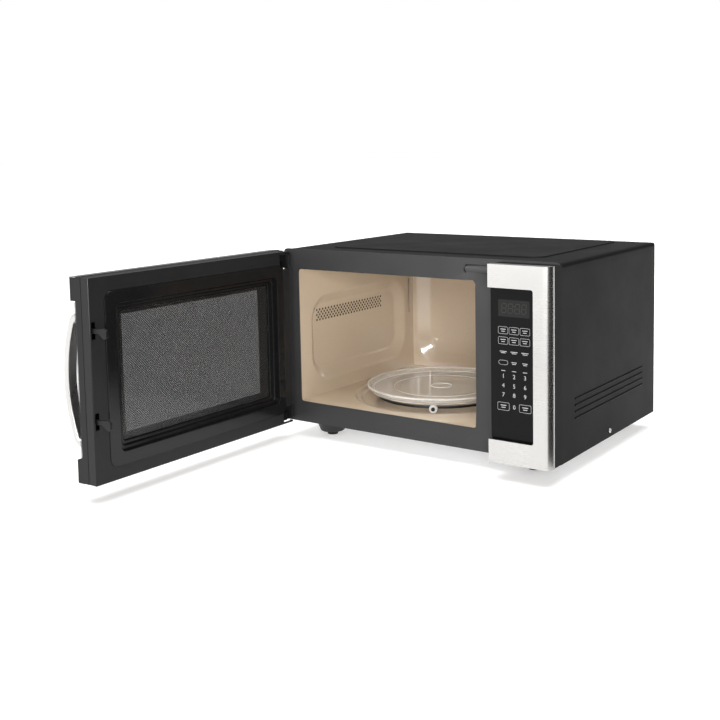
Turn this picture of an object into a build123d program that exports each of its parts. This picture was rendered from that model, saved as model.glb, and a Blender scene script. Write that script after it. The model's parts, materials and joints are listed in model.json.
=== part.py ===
"""Countertop microwave oven with its door standing open.

Units are millimetres. +X is to the right as one faces the oven, +Y goes into it, +Z is up.
The origin is on the worktop, below the middle of the cabinet's front face. The door is drawn
closed and then swung open about its hinge pins. Each piece is written to parts/NODE.step.
"""

import os
from math import asin, cos, radians, sin

from build123d import *

# ---------------------------------------------------------------- driving dimensions

FOOT_HEIGHT = 27.0  # worktop to the underside of the cabinet
CASE_WIDTH = 540.0
CASE_DEPTH = 380.0
CASE_HEIGHT = 309.0
CASE_CORNER = 8.0  # radius of the long bends of the wrap
SHEET = 0.8  # sheet metal of the wrap and the cavity
PLATE = 1.0  # sheet metal of the front, base and rear plates
SLIP = 0.4  # gap between nested sheets

BASE = FOOT_HEIGHT
TOP = BASE + CASE_HEIGHT
HALF = CASE_WIDTH / 2

CAVITY_LEFT = -238.0
CAVITY_RIGHT = 122.0
CAVITY_FLOOR = BASE + 37.4
CAVITY_CEILING = BASE + 273.6
CAVITY_FRONT = PLATE
CAVITY_BACK = 362.0
CAVITY_MID_Z = (CAVITY_FLOOR + CAVITY_CEILING) / 2
FLANGE = 0.5  # how far the front plate's opening stands outside the cavity walls

# turntable
TABLE_X = (CAVITY_LEFT + CAVITY_RIGHT) / 2
TABLE_Y = (CAVITY_FRONT + CAVITY_BACK) / 2
TRACK_Z = CAVITY_FLOOR - 7.5
TRACK_RADIUS = 125.0  # middle of the rollers
ROLLER_RADIUS = 7.2
ROLLER_WIDTH = 7.0
ROLLER_COUNT = 3
ROLLER_HEADING = -64.4  # degrees, direction of the first roller from the turntable's axis
TOUCH = 0.3  # gap left where a moving piece rests on another
ROLLER_Z = TRACK_Z + TOUCH + ROLLER_RADIUS
TRAY_Z = ROLLER_Z + ROLLER_RADIUS + TOUCH
TRAY_RADIUS = 135.0
TRAY_GLASS = 4.5
TRAY_HEIGHT = 12.0
COUPLER_TOP = TRAY_Z - TOUCH

# front: control panel and door share one face
FACE_Y = -42.0  # front of the steel
GLASS_Y = -34.0  # front of the black glass, sunk between the steel bands
GLASS_THICK = 3.0
FACE_BOTTOM = BASE + 1.2
FACE_TOP = BASE + 306.8
BAND = 35.6  # height of the top and bottom steel bands
SIDE_BAND = 28.5  # width of the upright steel bands
FACE_CORNER = 12.0  # radius of the rounded upright edges
STEEL = 0.8
STEEL_RETURN_Y = -28.0  # how far the steel wraps back round the edges
PANEL_LEFT = 167.0
PANEL_RIGHT = 272.0
GLASS_LOW = FACE_BOTTOM + BAND
GLASS_HIGH = FACE_TOP - BAND

# door, drawn closed
DOOR_LEFT = -272.0
DOOR_RIGHT = 164.4
DOOR_INNER_Y = -2.0
DOOR_SKIN = 0.9
PIVOT_X = -263.5
PIVOT_Y = -20.0
DOOR_OPEN = 91.0  # degrees from closed, as the door stands here
DOOR_PANEL_BACK = -18.5  # front edge of the inner panel's rim
COVER_LEFT, COVER_RIGHT = -250.0, 136.0
COVER_LOW, COVER_HIGH = BASE + 21.5, BASE + 283.5
WELL_LEFT, WELL_RIGHT = -236.0, 117.0
WELL_LOW, WELL_HIGH = BASE + 40.0, BASE + 265.0
SCREEN_Y = -15.0  # inner surface of the perforated screen
COVER_PROUD = 1.0

# hinges
PIN_RADIUS = 3.0
PIN_FIT = 0.05
PIN_LENGTH = 10.0
LEAF = 2.0
LEAF_HALF = 7.5
HINGE_SKIN = 2.6  # door material left above the upper leaf and below the lower one
NOTCH_RADIUS = 24.5
NOTCH_FRONT = -32.4
BUSH_LENGTH = 11.0

# latch
HOOK_X = 157.0
HOOK_THICK = 4.0
HOOK_HEIGHTS = (BASE + 228.0, BASE + 95.0)
HOOK_REACH = 30.0
LATCH_TRAVEL = 5.0
SLIDER_BACK, SLIDER_FRONT = -22.0, -16.6
SLIDER_LOW, SLIDER_HIGH = HOOK_HEIGHTS[1] - 34.0, HOOK_HEIGHTS[0] + 16.0
SLIDER_LEFT, SLIDER_RIGHT = HOOK_X - 4.0, HOOK_X + 3.4
GUIDE_GAP = 0.4
SPRING_RADIUS, SPRING_WIRE, SPRING_TURNS = 2.6, 0.45, 7
SPRING_HEIGHT = 22.0

# handle
HANDLE_X = 143.0
HANDLE_WIDTH = 19.0
HANDLE_THICK = 11.0
HANDLE_Z = BASE + 150.0
HANDLE_PEAK_Y = -77.0  # centre line at the middle of the bow
HANDLE_RADIUS = 228.0
HANDLE_HALF_SPAN = 86.0  # half the length of the bow, measured before its ends turn in
HANDLE_BEND = 15.0

os.makedirs("parts", exist_ok=True)
pieces = {}


def keep(name, shape):
    """Stores a finished piece under its node name."""
    pieces[name] = shape


# ---------------------------------------------------------------- shape helpers


def block(x0, x1, y0, y1, z0, z1):
    """A box between two corners."""
    return Pos((x0 + x1) / 2, (y0 + y1) / 2, (z0 + z1) / 2) * Box(x1 - x0, y1 - y0, z1 - z0)


def rod(axis, centre, radius, length):
    """A cylinder centred on a point, along X, Y or Z."""
    turn = {"X": Rot(0, 90, 0), "Y": Rot(90, 0, 0), "Z": Rot(0, 0, 0)}[axis]
    return Pos(*centre) * turn * Cylinder(radius, length)


def plate_xz(x0, x1, z0, z1, y0, y1, radius):
    """An upright plate facing the user, with rounded corners."""
    face = RectangleRounded(x1 - x0, z1 - z0, radius)
    return Pos((x0 + x1) / 2, (y0 + y1) / 2, (z0 + z1) / 2) * Rot(90, 0, 0) * extrude(
        face, (y1 - y0) / 2, both=True
    )


def pill(axis, centre, length, height, thick):
    """A stadium-ended bar lying along Y on an X-facing wall, or along X on a Y-facing wall."""
    turn, lie = {"X": (Rot(0, 90, 0), 90), "Y": (Rot(90, 0, 0), 0)}[axis]
    shape = SlotOverall(length, height, rotation=lie)
    return Pos(*centre) * turn * extrude(shape, thick / 2, both=True)


def pressing(plane, width, height, radius, depth, bevel, sheet):
    """The outside and the hollow of a bevelled recess pressed along a plane's normal."""
    mouth = RectangleRounded(width, height, radius)
    floor = RectangleRounded(width - 2 * bevel, height - 2 * bevel, max(radius - bevel, 6))
    outside = loft([plane.offset(sheet) * mouth, plane.offset(sheet + depth) * floor])
    hollow = loft([plane * mouth, plane.offset(depth) * floor])
    return outside, hollow


def grid(columns, rows, pitch_u, pitch_v, stagger=True):
    """Hole places of a perforated field, every second row moved by half a pitch."""
    for row in range(rows):
        odd = stagger and row % 2
        for column in range(columns - (1 if odd else 0)):
            u = (column - (columns - 1) / 2 + (0.5 if odd else 0)) * pitch_u
            v = (row - (rows - 1) / 2) * pitch_v
            yield u, v


def screw(place, head=4.0, shank=1.7, length=7.0):
    """A pan-head screw: place is the seat of the head, and its +Z points out of the head."""
    dome = Pos(0, 0, 1.1) * Cylinder(head, 2.2)
    dome = fillet(dome.edges().group_by(Axis.Z)[-1], 1.2)
    cross = Pos(0, 0, 2.0) * (Box(4.4, 0.9, 1.6) + Box(0.9, 4.4, 1.6))
    return place * (dome - cross + Pos(0, 0, -length / 2) * Cylinder(shank, length))


def facing(axis, point):
    """A placement at a point whose +Z runs along a signed axis such as -Y."""
    turn = {"+X": (0, 90, 0), "-X": (0, -90, 0), "+Y": (-90, 0, 0), "-Y": (90, 0, 0), "-Z": (180, 0, 0)}
    return Pos(*point) * Rot(*turn[axis])


def open_door(shape):
    """Swings a piece drawn with the door closed to where the door stands."""
    return Pos(PIVOT_X, PIVOT_Y, 0) * Rot(0, 0, -DOOR_OPEN) * Pos(-PIVOT_X, -PIVOT_Y, 0) * shape


def edges_along(shape, axis, x=None, y=None, z=None, near=0.6):
    """The straight edges along an axis that lie near the given coordinates."""
    found = []
    for edge in shape.edges().filter_by(axis):
        middle = edge.center()
        wanted = ((middle.X, x), (middle.Y, y), (middle.Z, z))
        if all(value is None or abs(place - value) < near for place, value in wanted):
            found.append(edge)
    return found


# ---------------------------------------------------------------- cabinet shell

REAR_LIP = 12.0
REAR_SCREWS = [(x, z) for x in (-180.0, 0.0, 180.0) for z in (TOP - 7.0,)]
REAR_SCREWS += [(x, z) for x in (-HALF + 7.0, HALF - 7.0) for z in (BASE + 90.0, BASE + 210.0)]
SIDE_SCREW = (180.0, BASE + 12.0)
SCREW_HOLE = 2.1
RIB_LENGTH, RIB_HEIGHT, RIB_PROUD = 278.0, 4.4, 1.4
RIB_Y, RIB_LOWEST_Z, RIB_PITCH, RIB_COUNT = 185.0, BASE + 62.3, 10.3, 4
TOP_PANEL = (-212.0, 207.0, 57.0, 366.0)  # pressed field of the top: x, x, y, y
FOOT_X, FOOT_FRONT_Y, FOOT_REAR_Y = 202.0, 42.0, 338.0
FOOT_RADIUS = 9.5
FOOT_STEM = 4.0  # radius of the stem that is pushed into the dish
DISH_DEPTH = 20.0
DISH_TOP, DISH_BOTTOM = 31.0, 19.5
BASE_RIM = 22.0


def make_outer_casing():
    """The wrap: top and both sides in one bent sheet, open in front and below."""
    low, front = BASE + 0.6, PLATE + 0.3
    outer = block(-HALF, HALF, front, CASE_DEPTH, low, TOP)
    outer = fillet(edges_along(outer, Axis.Y, z=TOP), CASE_CORNER)
    inner = block(-HALF + SHEET, HALF - SHEET, front - 1, CASE_DEPTH - SHEET, low - 1, TOP - SHEET)
    inner = fillet(edges_along(inner, Axis.Y, z=TOP - SHEET), CASE_CORNER - SHEET)
    rear_opening = block(
        -HALF + REAR_LIP, HALF - REAR_LIP, CASE_DEPTH - 5, CASE_DEPTH + 1, low - 1, TOP - REAR_LIP
    )
    casing = outer - inner - rear_opening

    x0, x1, y0, y1 = TOP_PANEL
    field = Plane(origin=((x0 + x1) / 2, (y0 + y1) / 2, TOP), x_dir=(1, 0, 0), z_dir=(0, 0, -1))
    outside, hollow = pressing(field, x1 - x0, y1 - y0, 20, 1.6, 5, SHEET)
    casing = casing + outside - hollow

    for row in range(RIB_COUNT):
        middle = (HALF, RIB_Y, RIB_LOWEST_Z + row * RIB_PITCH)
        rib = pill("X", middle, RIB_LENGTH, RIB_HEIGHT, 2 * RIB_PROUD)
        casing += rib & block(HALF - 0.4, HALF + 9, 0, CASE_DEPTH, BASE, TOP)
    for x, z in REAR_SCREWS:
        casing -= rod("Y", (x, CASE_DEPTH, z), SCREW_HOLE, 6)
    for side in (-1, 1):
        casing -= rod("X", (side * HALF, *SIDE_SCREW), SCREW_HOLE, 6)
    keep("outer_casing", casing)


def foot_places():
    """The middle of each foot, as x, y."""
    return [(x, y) for x in (-FOOT_X, FOOT_X) for y in (FOOT_FRONT_Y, FOOT_REAR_Y)]


def foot_dish(z):
    """A tapered plug hanging below a height; two of them, a sheet apart, make a dish."""
    return Pos(0, 0, z) * Cone(
        DISH_BOTTOM, DISH_TOP, DISH_DEPTH, align=(Align.CENTER, Align.CENTER, Align.MAX)
    )


def make_base_plate():
    """The floor of the cabinet, with upturned rims, a hole over each foot's dish and air slots."""
    edge = HALF - SHEET - SLIP
    plate = block(-edge, edge, PLATE + 0.3, CASE_DEPTH - 1.8, BASE, BASE + PLATE)
    for side in (-1, 1):
        x0, x1 = sorted((side * (edge - PLATE), side * edge))
        plate += block(x0, x1, 14, CASE_DEPTH - 14, BASE, BASE + BASE_RIM)
        plate -= rod("X", (side * edge, *SIDE_SCREW), SCREW_HOLE, 8)
    for x, y in foot_places():
        plate -= Pos(x, y, 0) * foot_dish(BASE + PLATE)
    for column in range(7):
        for row in range(2):
            plate -= pill_slot_z(150 + column * 16, 150 + row * 46, 5, 34)
    keep("base_plate", plate)


def make_foot_dishes():
    """The four pressed dishes below the base plate that hold the feet."""
    dish = foot_dish(BASE) - foot_dish(BASE + PLATE)
    dish -= rod("Z", (0, 0, BASE - DISH_DEPTH), FOOT_STEM, 8)
    keep("foot_dishes", Compound(children=[Pos(x, y, 0) * dish for x, y in foot_places()]))


def pill_slot_z(x, y, width, length):
    """A vent slot along Y cut through the base plate."""
    slot = extrude(SlotOverall(length, width), 3, both=True)
    return Pos(x, y, BASE + PLATE / 2) * Rot(0, 0, 90) * slot


def make_feet():
    """Four rubber feet with stems pushed into the dishes."""
    upward = (Align.CENTER, Align.CENTER, Align.MIN)
    height = BASE - DISH_DEPTH
    pad = Cylinder(FOOT_RADIUS, height, align=upward)
    pad = chamfer(pad.edges().group_by(Axis.Z)[0], 0.8)
    foot = pad + Pos(0, 0, height) * Cylinder(FOOT_STEM, 4.5, align=upward)
    keep("rubber_feet", Compound(children=[Pos(x, y, 0) * foot for x, y in foot_places()]))


VENT_X, VENT_Z = 196.0, BASE + 205.0
CORD_X, CORD_Z, CORD_RADIUS = 150.0, BASE + 30.0, 7.5


def make_rear_panel():
    """The back: a flat sheet with fan vents and the hole for the supply cord."""
    edge = HALF - SHEET - SLIP
    back = CASE_DEPTH - SHEET
    panel = block(-edge, edge, back - PLATE, back, BASE + PLATE, TOP - SHEET - SLIP)
    corner = edges_along(panel, Axis.Y, z=TOP - SHEET - SLIP)
    panel = fillet(corner, CASE_CORNER - SHEET - SLIP)
    for row in range(11):
        slot = pill("Y", (VENT_X, back, VENT_Z + (row - 5) * 8.0), 96, 4.2, 6)
        panel -= slot
    for row in range(7):
        panel -= pill("Y", (-150, back, VENT_Z + (row - 3) * 8.0), 70, 4.2, 6)
    for x, z in REAR_SCREWS:
        panel -= rod("Y", (x, back, z), SCREW_HOLE, 6)
    panel -= rod("Y", (CORD_X, back, CORD_Z), CORD_RADIUS, 6)
    keep("rear_panel", panel)


def make_cord_gland():
    """The plastic bush that lines the cord hole."""
    back = CASE_DEPTH - SHEET
    bush = rod("Y", (CORD_X, back - PLATE / 2, CORD_Z), CORD_RADIUS, PLATE)
    bush += rod("Y", (CORD_X, back + 1.5, CORD_Z), CORD_RADIUS + 2.5, 3.0)
    bush += rod("Y", (CORD_X, back - PLATE - 2.0, CORD_Z), CORD_RADIUS + 1.5, 4.0)
    keep("cord_gland", bush - rod("Y", (CORD_X, back, CORD_Z), 4.0, 30))


LATCH_SLOT_HALF_X, LATCH_SLOT_HALF_Z = 5.5, 19.0
WINDOW_LEFT, WINDOW_RIGHT = 177.0, 262.0  # opening behind the control panel
BEAD_X0, BEAD_X1, BEAD_Z = 103.5, 158.0, BASE + 291.6


def make_front_plate():
    """The painted plate round the cavity opening; the door closes on it."""
    plate = block(-HALF, HALF, 0, PLATE, BASE + 0.3, TOP)
    plate = fillet(edges_along(plate, Axis.Y, z=TOP), CASE_CORNER)
    plate -= plate_xz(
        CAVITY_LEFT + FLANGE, CAVITY_RIGHT - FLANGE, CAVITY_FLOOR - 0.4, CAVITY_CEILING - 0.1,
        -1, PLATE + 1, 5,
    )
    plate -= plate_xz(WINDOW_LEFT, WINDOW_RIGHT, BASE + 40, BASE + 265, -1, PLATE + 1, 4)
    for z in HOOK_HEIGHTS:
        plate -= block(
            HOOK_X - LATCH_SLOT_HALF_X, HOOK_X + LATCH_SLOT_HALF_X, -1, PLATE + 1,
            z - LATCH_SLOT_HALF_Z, z + LATCH_SLOT_HALF_Z,
        )
    bead_x = (BEAD_X0 + BEAD_X1) / 2
    plate += pill("Y", (bead_x, 0, BEAD_Z), BEAD_X1 - BEAD_X0, 8.4, 1.4) - block(
        BEAD_X0, BEAD_X1, PLATE / 2, 9, BASE, TOP
    )
    plate -= pill("Y", (bead_x, -0.7, BEAD_Z), BEAD_X1 - BEAD_X0 - 5, 3.4, 1.6)
    keep("front_plate", plate)


def make_casing_screws():
    """The screws that hold the wrap: a row across the back and one low on each side."""
    screws = [screw(facing("+Y", (x, CASE_DEPTH, z)), length=4) for x, z in REAR_SCREWS]
    screws.append(screw(facing("+X", (HALF, *SIDE_SCREW)), length=5))
    screws.append(screw(facing("-X", (-HALF, *SIDE_SCREW)), length=5))
    keep("casing_screws", Compound(children=screws))


# ---------------------------------------------------------------- oven cavity

PRESS_DEPTH = 13.0
VENT_HOLE = 2.2
SIDE_RECESS = (30.0, 335.0, BASE + 60.0, BASE + 224.0)  # y, y, z, z
REAR_RECESS_MARGIN = 6.0
GUIDE_Y, GUIDE_Z = (95.0, 175.0), (BASE + 165.0, BASE + 235.0)  # waveguide mouth


def make_cavity_left_wall():
    """The left wall, pushed outwards in a wide bevelled field with the steam vents."""
    wall = block(
        CAVITY_LEFT - SHEET, CAVITY_LEFT, CAVITY_FRONT, CAVITY_BACK, CAVITY_FLOOR, CAVITY_CEILING
    )
    y0, y1, z0, z1 = SIDE_RECESS
    field = Plane(origin=(CAVITY_LEFT, (y0 + y1) / 2, (z0 + z1) / 2), x_dir=(0, 1, 0), z_dir=(-1, 0, 0))
    outside, hollow = pressing(field, y1 - y0, z1 - z0, 52, PRESS_DEPTH, 26, SHEET)
    wall = wall + outside - hollow
    vents = [
        rod("X", (CAVITY_LEFT - PRESS_DEPTH, 165.5 + u, BASE + 181.0 + v), VENT_HOLE, 8)
        for u, v in grid(24, 5, 8.75, 4.6)
    ]
    strip = [rod("X", (CAVITY_LEFT, 347.0, BASE + 150.0 + 5.4 * n), 1.6, 4) for n in range(13)]
    keep("cavity_left_wall", wall - vents - strip)


def make_cavity_right_wall():
    """The right wall, with the microwave inlet and the lamp's and the fan's holes."""
    wall = block(
        CAVITY_RIGHT, CAVITY_RIGHT + SHEET, CAVITY_FRONT, CAVITY_BACK, CAVITY_FLOOR, CAVITY_CEILING
    )
    wall -= block(CAVITY_RIGHT - 1, CAVITY_RIGHT + 2, *GUIDE_Y, *GUIDE_Z)
    air = [
        rod("X", (CAVITY_RIGHT, 265 + u, BASE + 200 + v), VENT_HOLE, 4)
        for u, v in grid(10, 6, 7, 6)
    ]
    light = [rod("X", (CAVITY_RIGHT, 55 + u, BASE + 245 + v), 1.5, 4) for u, v in grid(5, 5, 5, 4.6)]
    keep("cavity_right_wall", wall - air - light)


def make_cavity_rear_wall():
    """The rear wall, pressed rearwards almost to its edges."""
    wall = block(
        CAVITY_LEFT - SHEET, CAVITY_RIGHT + SHEET, CAVITY_BACK, CAVITY_BACK + SHEET,
        CAVITY_FLOOR - SHEET, CAVITY_CEILING + SHEET,
    )
    width = CAVITY_RIGHT - CAVITY_LEFT - 2 * REAR_RECESS_MARGIN
    height = CAVITY_CEILING - CAVITY_FLOOR - 2 * REAR_RECESS_MARGIN
    field = Plane(origin=(TABLE_X, CAVITY_BACK, CAVITY_MID_Z), x_dir=(1, 0, 0), z_dir=(0, 1, 0))
    outside, hollow = pressing(field, width, height, 46, PRESS_DEPTH, 32, SHEET)
    keep("cavity_rear_wall", wall + outside - hollow)


def make_cavity_ceiling():
    """The flat ceiling of the cavity."""
    keep("cavity_ceiling", block(
        CAVITY_LEFT - SHEET, CAVITY_RIGHT + SHEET, CAVITY_FRONT, CAVITY_BACK,
        CAVITY_CEILING, CAVITY_CEILING + SHEET,
    ))


FLOOR_STEPS = [
    (158.0, 0.0), (154.0, 3.4), (147.0, 3.9), (143.0, 7.5), (62.0, 7.5), (57.0, 4.5), (0.0, 4.5),
]


def make_cavity_floor():
    """The floor: flat round the edges, stepping down in rings to the rollers' track."""
    floor = block(
        CAVITY_LEFT - SHEET, CAVITY_RIGHT + SHEET, CAVITY_FRONT, CAVITY_BACK,
        CAVITY_FLOOR - SHEET, CAVITY_FLOOR,
    )
    top = [(r, -drop) for r, drop in FLOOR_STEPS]
    hollow = revolve(Plane.XZ * make_face(Polyline((0, 0), *top, close=True)), Axis.Z)
    under = [(r, -drop - SHEET) for r, drop in FLOOR_STEPS]
    outside = revolve(Plane.XZ * make_face(Polyline((0, -SHEET), *under, close=True)), Axis.Z)
    place = Pos(TABLE_X, TABLE_Y, CAVITY_FLOOR)
    floor = floor + place * outside - place * hollow
    keep("cavity_floor", floor - rod("Z", (TABLE_X, TABLE_Y, CAVITY_FLOOR), 12.0, 40))


def make_waveguide_cover():
    """The mica sheet over the microwave inlet."""
    y0, y1 = GUIDE_Y
    z0, z1 = GUIDE_Z
    keep("waveguide_cover", block(CAVITY_RIGHT - 0.5, CAVITY_RIGHT, y0 - 12, y1 + 12, z0 - 12, z1 + 12))


# ---------------------------------------------------------------- turntable

DRIVE_SHAFT = 3.5
LOBE_REACH, LOBE_WIDTH = 19.0, 8.0


def make_turntable_motor():
    """The flat synchronous motor under the cavity floor."""
    ceiling = CAVITY_FLOOR - 4.5 - SHEET
    body = rod("Z", (TABLE_X, TABLE_Y, ceiling - 8.5), 24.5, 15)
    body += rod("Z", (TABLE_X, TABLE_Y, ceiling - 0.5), 6.0, 1.0)
    for side in (-1, 1):
        ear = block(-31, 31, -6, 6, ceiling - 1.0, ceiling) - rod("Z", (side * 28, 0, ceiling), 2.2, 6)
        body += Pos(TABLE_X, TABLE_Y, 0) * (ear & block(*sorted((0, side * 31)), -6, 6, 0, ceiling))
    keep("turntable_motor", body - rod("Z", (TABLE_X, TABLE_Y, ceiling), DRIVE_SHAFT + 0.3, 30))


def make_drive_coupler():
    """The three-lobed coupler that turns the tray, and its shaft."""
    low = CAVITY_FLOOR - 4.5 + 1.2
    body = rod("Z", (0, 0, (low + COUPLER_TOP) / 2), 9.5, COUPLER_TOP - low)
    lobe = block(0, LOBE_REACH, -LOBE_WIDTH / 2, LOBE_WIDTH / 2, COUPLER_TOP - 7, COUPLER_TOP)
    for turn in range(3):
        body += Rot(0, 0, 120 * turn) * lobe
    body += rod("Z", (0, 0, low - 7), DRIVE_SHAFT, 14.4)
    keep("drive_coupler", Pos(TABLE_X, TABLE_Y, 0) * body)


def roller_place(index):
    """Placement of a roller: +Z points outwards along its axle."""
    heading = ROLLER_HEADING + index * 360 / ROLLER_COUNT
    place = Pos(TABLE_X, TABLE_Y, ROLLER_Z) * Rot(0, 0, heading)
    return place * Pos(TRACK_RADIUS, 0, 0) * Rot(0, 90, 0)


AXLE_RADIUS = 2.4
RING_INNER, RING_OUTER = 112.0, 119.0


def make_roller_ring():
    """The plastic ring that spaces the rollers, with a stub axle for each."""
    low, high = ROLLER_Z - 4.0, ROLLER_Z + 4.0
    ring = rod("Z", (0, 0, ROLLER_Z), RING_OUTER, high - low)
    ring -= rod("Z", (0, 0, ROLLER_Z), RING_INNER, 20)
    ring = Pos(TABLE_X, TABLE_Y, 0) * ring
    for index in range(ROLLER_COUNT):
        place = roller_place(index)
        axle_start = RING_OUTER - 2 - TRACK_RADIUS
        axle_end = ROLLER_WIDTH / 2 + 1.6
        axle_middle = (axle_start + axle_end) / 2
        ring += place * Pos(0, 0, axle_middle) * Cylinder(AXLE_RADIUS, axle_end - axle_start)
        ring += place * Pos(0, 0, ROLLER_WIDTH / 2 + 1.2) * Cylinder(AXLE_RADIUS + 1.1, 0.8)
    keep("roller_ring", ring)


def make_rollers():
    """Three loose wheels on the ring's axles."""
    for index in range(ROLLER_COUNT):
        wheel = Cylinder(ROLLER_RADIUS, ROLLER_WIDTH)
        wheel = fillet(wheel.edges().filter_by(GeomType.CIRCLE), 0.8)
        wheel -= Cylinder(AXLE_RADIUS + PIN_FIT, 20)
        keep(f"roller_{index + 1}", roller_place(index) * wheel)


def make_glass_tray():
    """The round glass tray, with three lugs below that fit between the coupler's lobes."""
    rim_in = TRAY_RADIUS - TRAY_GLASS
    section = make_face(Polyline(
        (0, 0), (128, 0), (TRAY_RADIUS, 6.5), (TRAY_RADIUS, TRAY_HEIGHT), (rim_in, TRAY_HEIGHT),
        (rim_in - 1.5, 8.4), (124.5, TRAY_GLASS), (0, TRAY_GLASS), close=True,
    ))
    tray = Pos(0, 0, TRAY_Z) * revolve(Plane.XZ * section, Axis.Z)
    for turn in range(3):
        tray += Rot(0, 0, 60 + 120 * turn) * block(11.0, 20.0, -4.5, 4.5, TRAY_Z - 4.5, TRAY_Z + 1)
    keep("glass_tray", Pos(TABLE_X, TABLE_Y, 0) * tray)


# ---------------------------------------------------------------- control panel

HOUSING_WALL = 2.2
DISPLAY = (181.0, 234.0, BASE + 227.0, BASE + 253.0)  # x, x, z, z
KEY_FIELD = (176.0, 238.0, BASE + 78.0, BASE + 216.0)


def face_moulding(x0, x1, rounded_x, front, back, low, high, radius):
    """A block whose front upright edge at rounded_x is rounded."""
    body = block(x0, x1, front, back, low, high)
    return fillet(edges_along(body, Axis.Z, x=rounded_x, y=front), radius)


def glass_pocket(x0, x1, depth):
    """The space of the sunk black glass, open at the side where door and panel meet."""
    return plate_xz(x0, x1, GLASS_LOW, GLASS_HIGH, FACE_Y - 1, depth, 4)


def make_control_housing():
    """The black moulding behind the steel; it carries the glass and the board."""
    inset = STEEL + 0.1
    body = face_moulding(
        PANEL_LEFT + 0.6, PANEL_RIGHT - inset, PANEL_RIGHT - inset, FACE_Y + STEEL, -0.2,
        FACE_BOTTOM + inset, FACE_TOP - inset, FACE_CORNER - inset,
    )
    left, right = PANEL_LEFT + 0.6 + HOUSING_WALL, PANEL_RIGHT - inset - HOUSING_WALL
    low, high = FACE_BOTTOM + inset + HOUSING_WALL, FACE_TOP - inset - HOUSING_WALL
    seat = GLASS_Y + GLASS_THICK
    body -= glass_pocket(PANEL_LEFT - 20, PANEL_RIGHT - SIDE_BAND, seat)
    body -= block(left, right, seat + HOUSING_WALL, 1, low, high)
    front = FACE_Y + STEEL + HOUSING_WALL
    body -= block(left, right - 8, front, seat + 3, low, GLASS_LOW - HOUSING_WALL)
    body -= block(left, right - 8, front, seat + 3, GLASS_HIGH + HOUSING_WALL, high)
    body -= block(PANEL_RIGHT - SIDE_BAND + HOUSING_WALL, right - 8, front, seat + 3, low, high)
    x0, x1, z0, _ = KEY_FIELD
    body -= block(x0, x1, seat - 1, seat + 4, z0, DISPLAY[3] + 3)
    keep("control_housing", body)


def steel_face(x0, x1, rounded_x, glass_x0, glass_x1, open_x0, open_x1):
    """A thin steel face with returns, cut out for the glass."""
    outer = face_moulding(
        x0, x1, rounded_x, FACE_Y, STEEL_RETURN_Y, FACE_BOTTOM, FACE_TOP, FACE_CORNER
    )
    inner_edge = rounded_x - STEEL if rounded_x > 0 else rounded_x + STEEL
    inner = face_moulding(
        open_x0, open_x1, inner_edge, FACE_Y + STEEL, STEEL_RETURN_Y + 1,
        FACE_BOTTOM + STEEL, FACE_TOP - STEEL, FACE_CORNER - STEEL,
    )
    return outer - inner - glass_pocket(glass_x0, glass_x1, STEEL_RETURN_Y + 1)


def make_control_bezel():
    """The brushed steel face of the control panel: top, bottom and right bands in one piece."""
    keep("control_bezel", steel_face(
        PANEL_LEFT, PANEL_RIGHT, PANEL_RIGHT, PANEL_LEFT - 20, PANEL_RIGHT - SIDE_BAND,
        PANEL_LEFT - 5, PANEL_RIGHT - STEEL,
    ))


def make_control_glass():
    """The black overlay with the display window and the printed keys."""
    glass = plate_xz(
        PANEL_LEFT + 0.8, PANEL_RIGHT - SIDE_BAND - 0.2, GLASS_LOW + 0.2, GLASS_HIGH - 0.2,
        GLASS_Y, GLASS_Y + GLASS_THICK, 3.6,
    )
    keep("control_glass", glass)


def make_keypad_membrane():
    """The switch foil behind the printed keys."""
    x0, x1, z0, z1 = KEY_FIELD
    seat = GLASS_Y + GLASS_THICK
    keep("keypad_membrane", block(x0 + 0.5, x1 - 0.5, seat, seat + 0.6, z0 + 0.5, z1))


def make_display_module():
    """The four-digit display behind the glass."""
    x0, x1, z0, z1 = DISPLAY
    seat = GLASS_Y + GLASS_THICK
    keep("display_module", block(x0, x1, seat, seat + 9, z0, z1))


BOARD_Y = -17.0
BOARD_THICK = 1.6
RELAY = (20.0, 15.0, 22.0)  # width, height off the board and length
SUPPLY = (36.0, 13.0, 36.0)  # the board's own small transformer, likewise
CHIP = (20.0, 4.0, 26.0)
SOUNDER = (7.0, 10.0)  # radius and height


def make_control_board():
    """The control circuit board with its relays, transformer and sounder."""
    top = BOARD_Y + BOARD_THICK
    board = block(PANEL_LEFT + 6, PANEL_RIGHT - 8, BOARD_Y, top, BASE + 60, BASE + 268)
    parts = [(180, 80, RELAY), (180, 108, RELAY), (214, 82, SUPPLY), (205, 150, CHIP)]
    for x, z, (wide, tall, long) in parts:
        board += block(x, x + wide, top, top + tall, BASE + z, BASE + z + long)
    radius, height = SOUNDER
    board += rod("Y", (190, top + height / 2, BASE + 160), radius, height)
    keep("control_board", board)


# ---------------------------------------------------------------- machine compartment

GUIDE_WALL = 1.2
GUIDE_END = 166.0
MAGNETRON_Y = (100.0, 170.0)
MAGNETRON_Z = (BASE + 158.0, BASE + 242.0)
MAGNETRON_WIDTH = 62.0
YOKE_WALL = 2.0
ANODE_RADIUS = 19.0
ANTENNA_Y, ANTENNA_Z = 135.0, BASE + 200.0
ANTENNA_RADIUS, ANTENNA_LENGTH = 7.0, 25.0
FIN_COUNT, FIN_PITCH, FIN_THICK = 7, 7.6, 0.8
FILTER_BOX = 24.0  # width of the box beside the yoke that holds the filter coils


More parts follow.
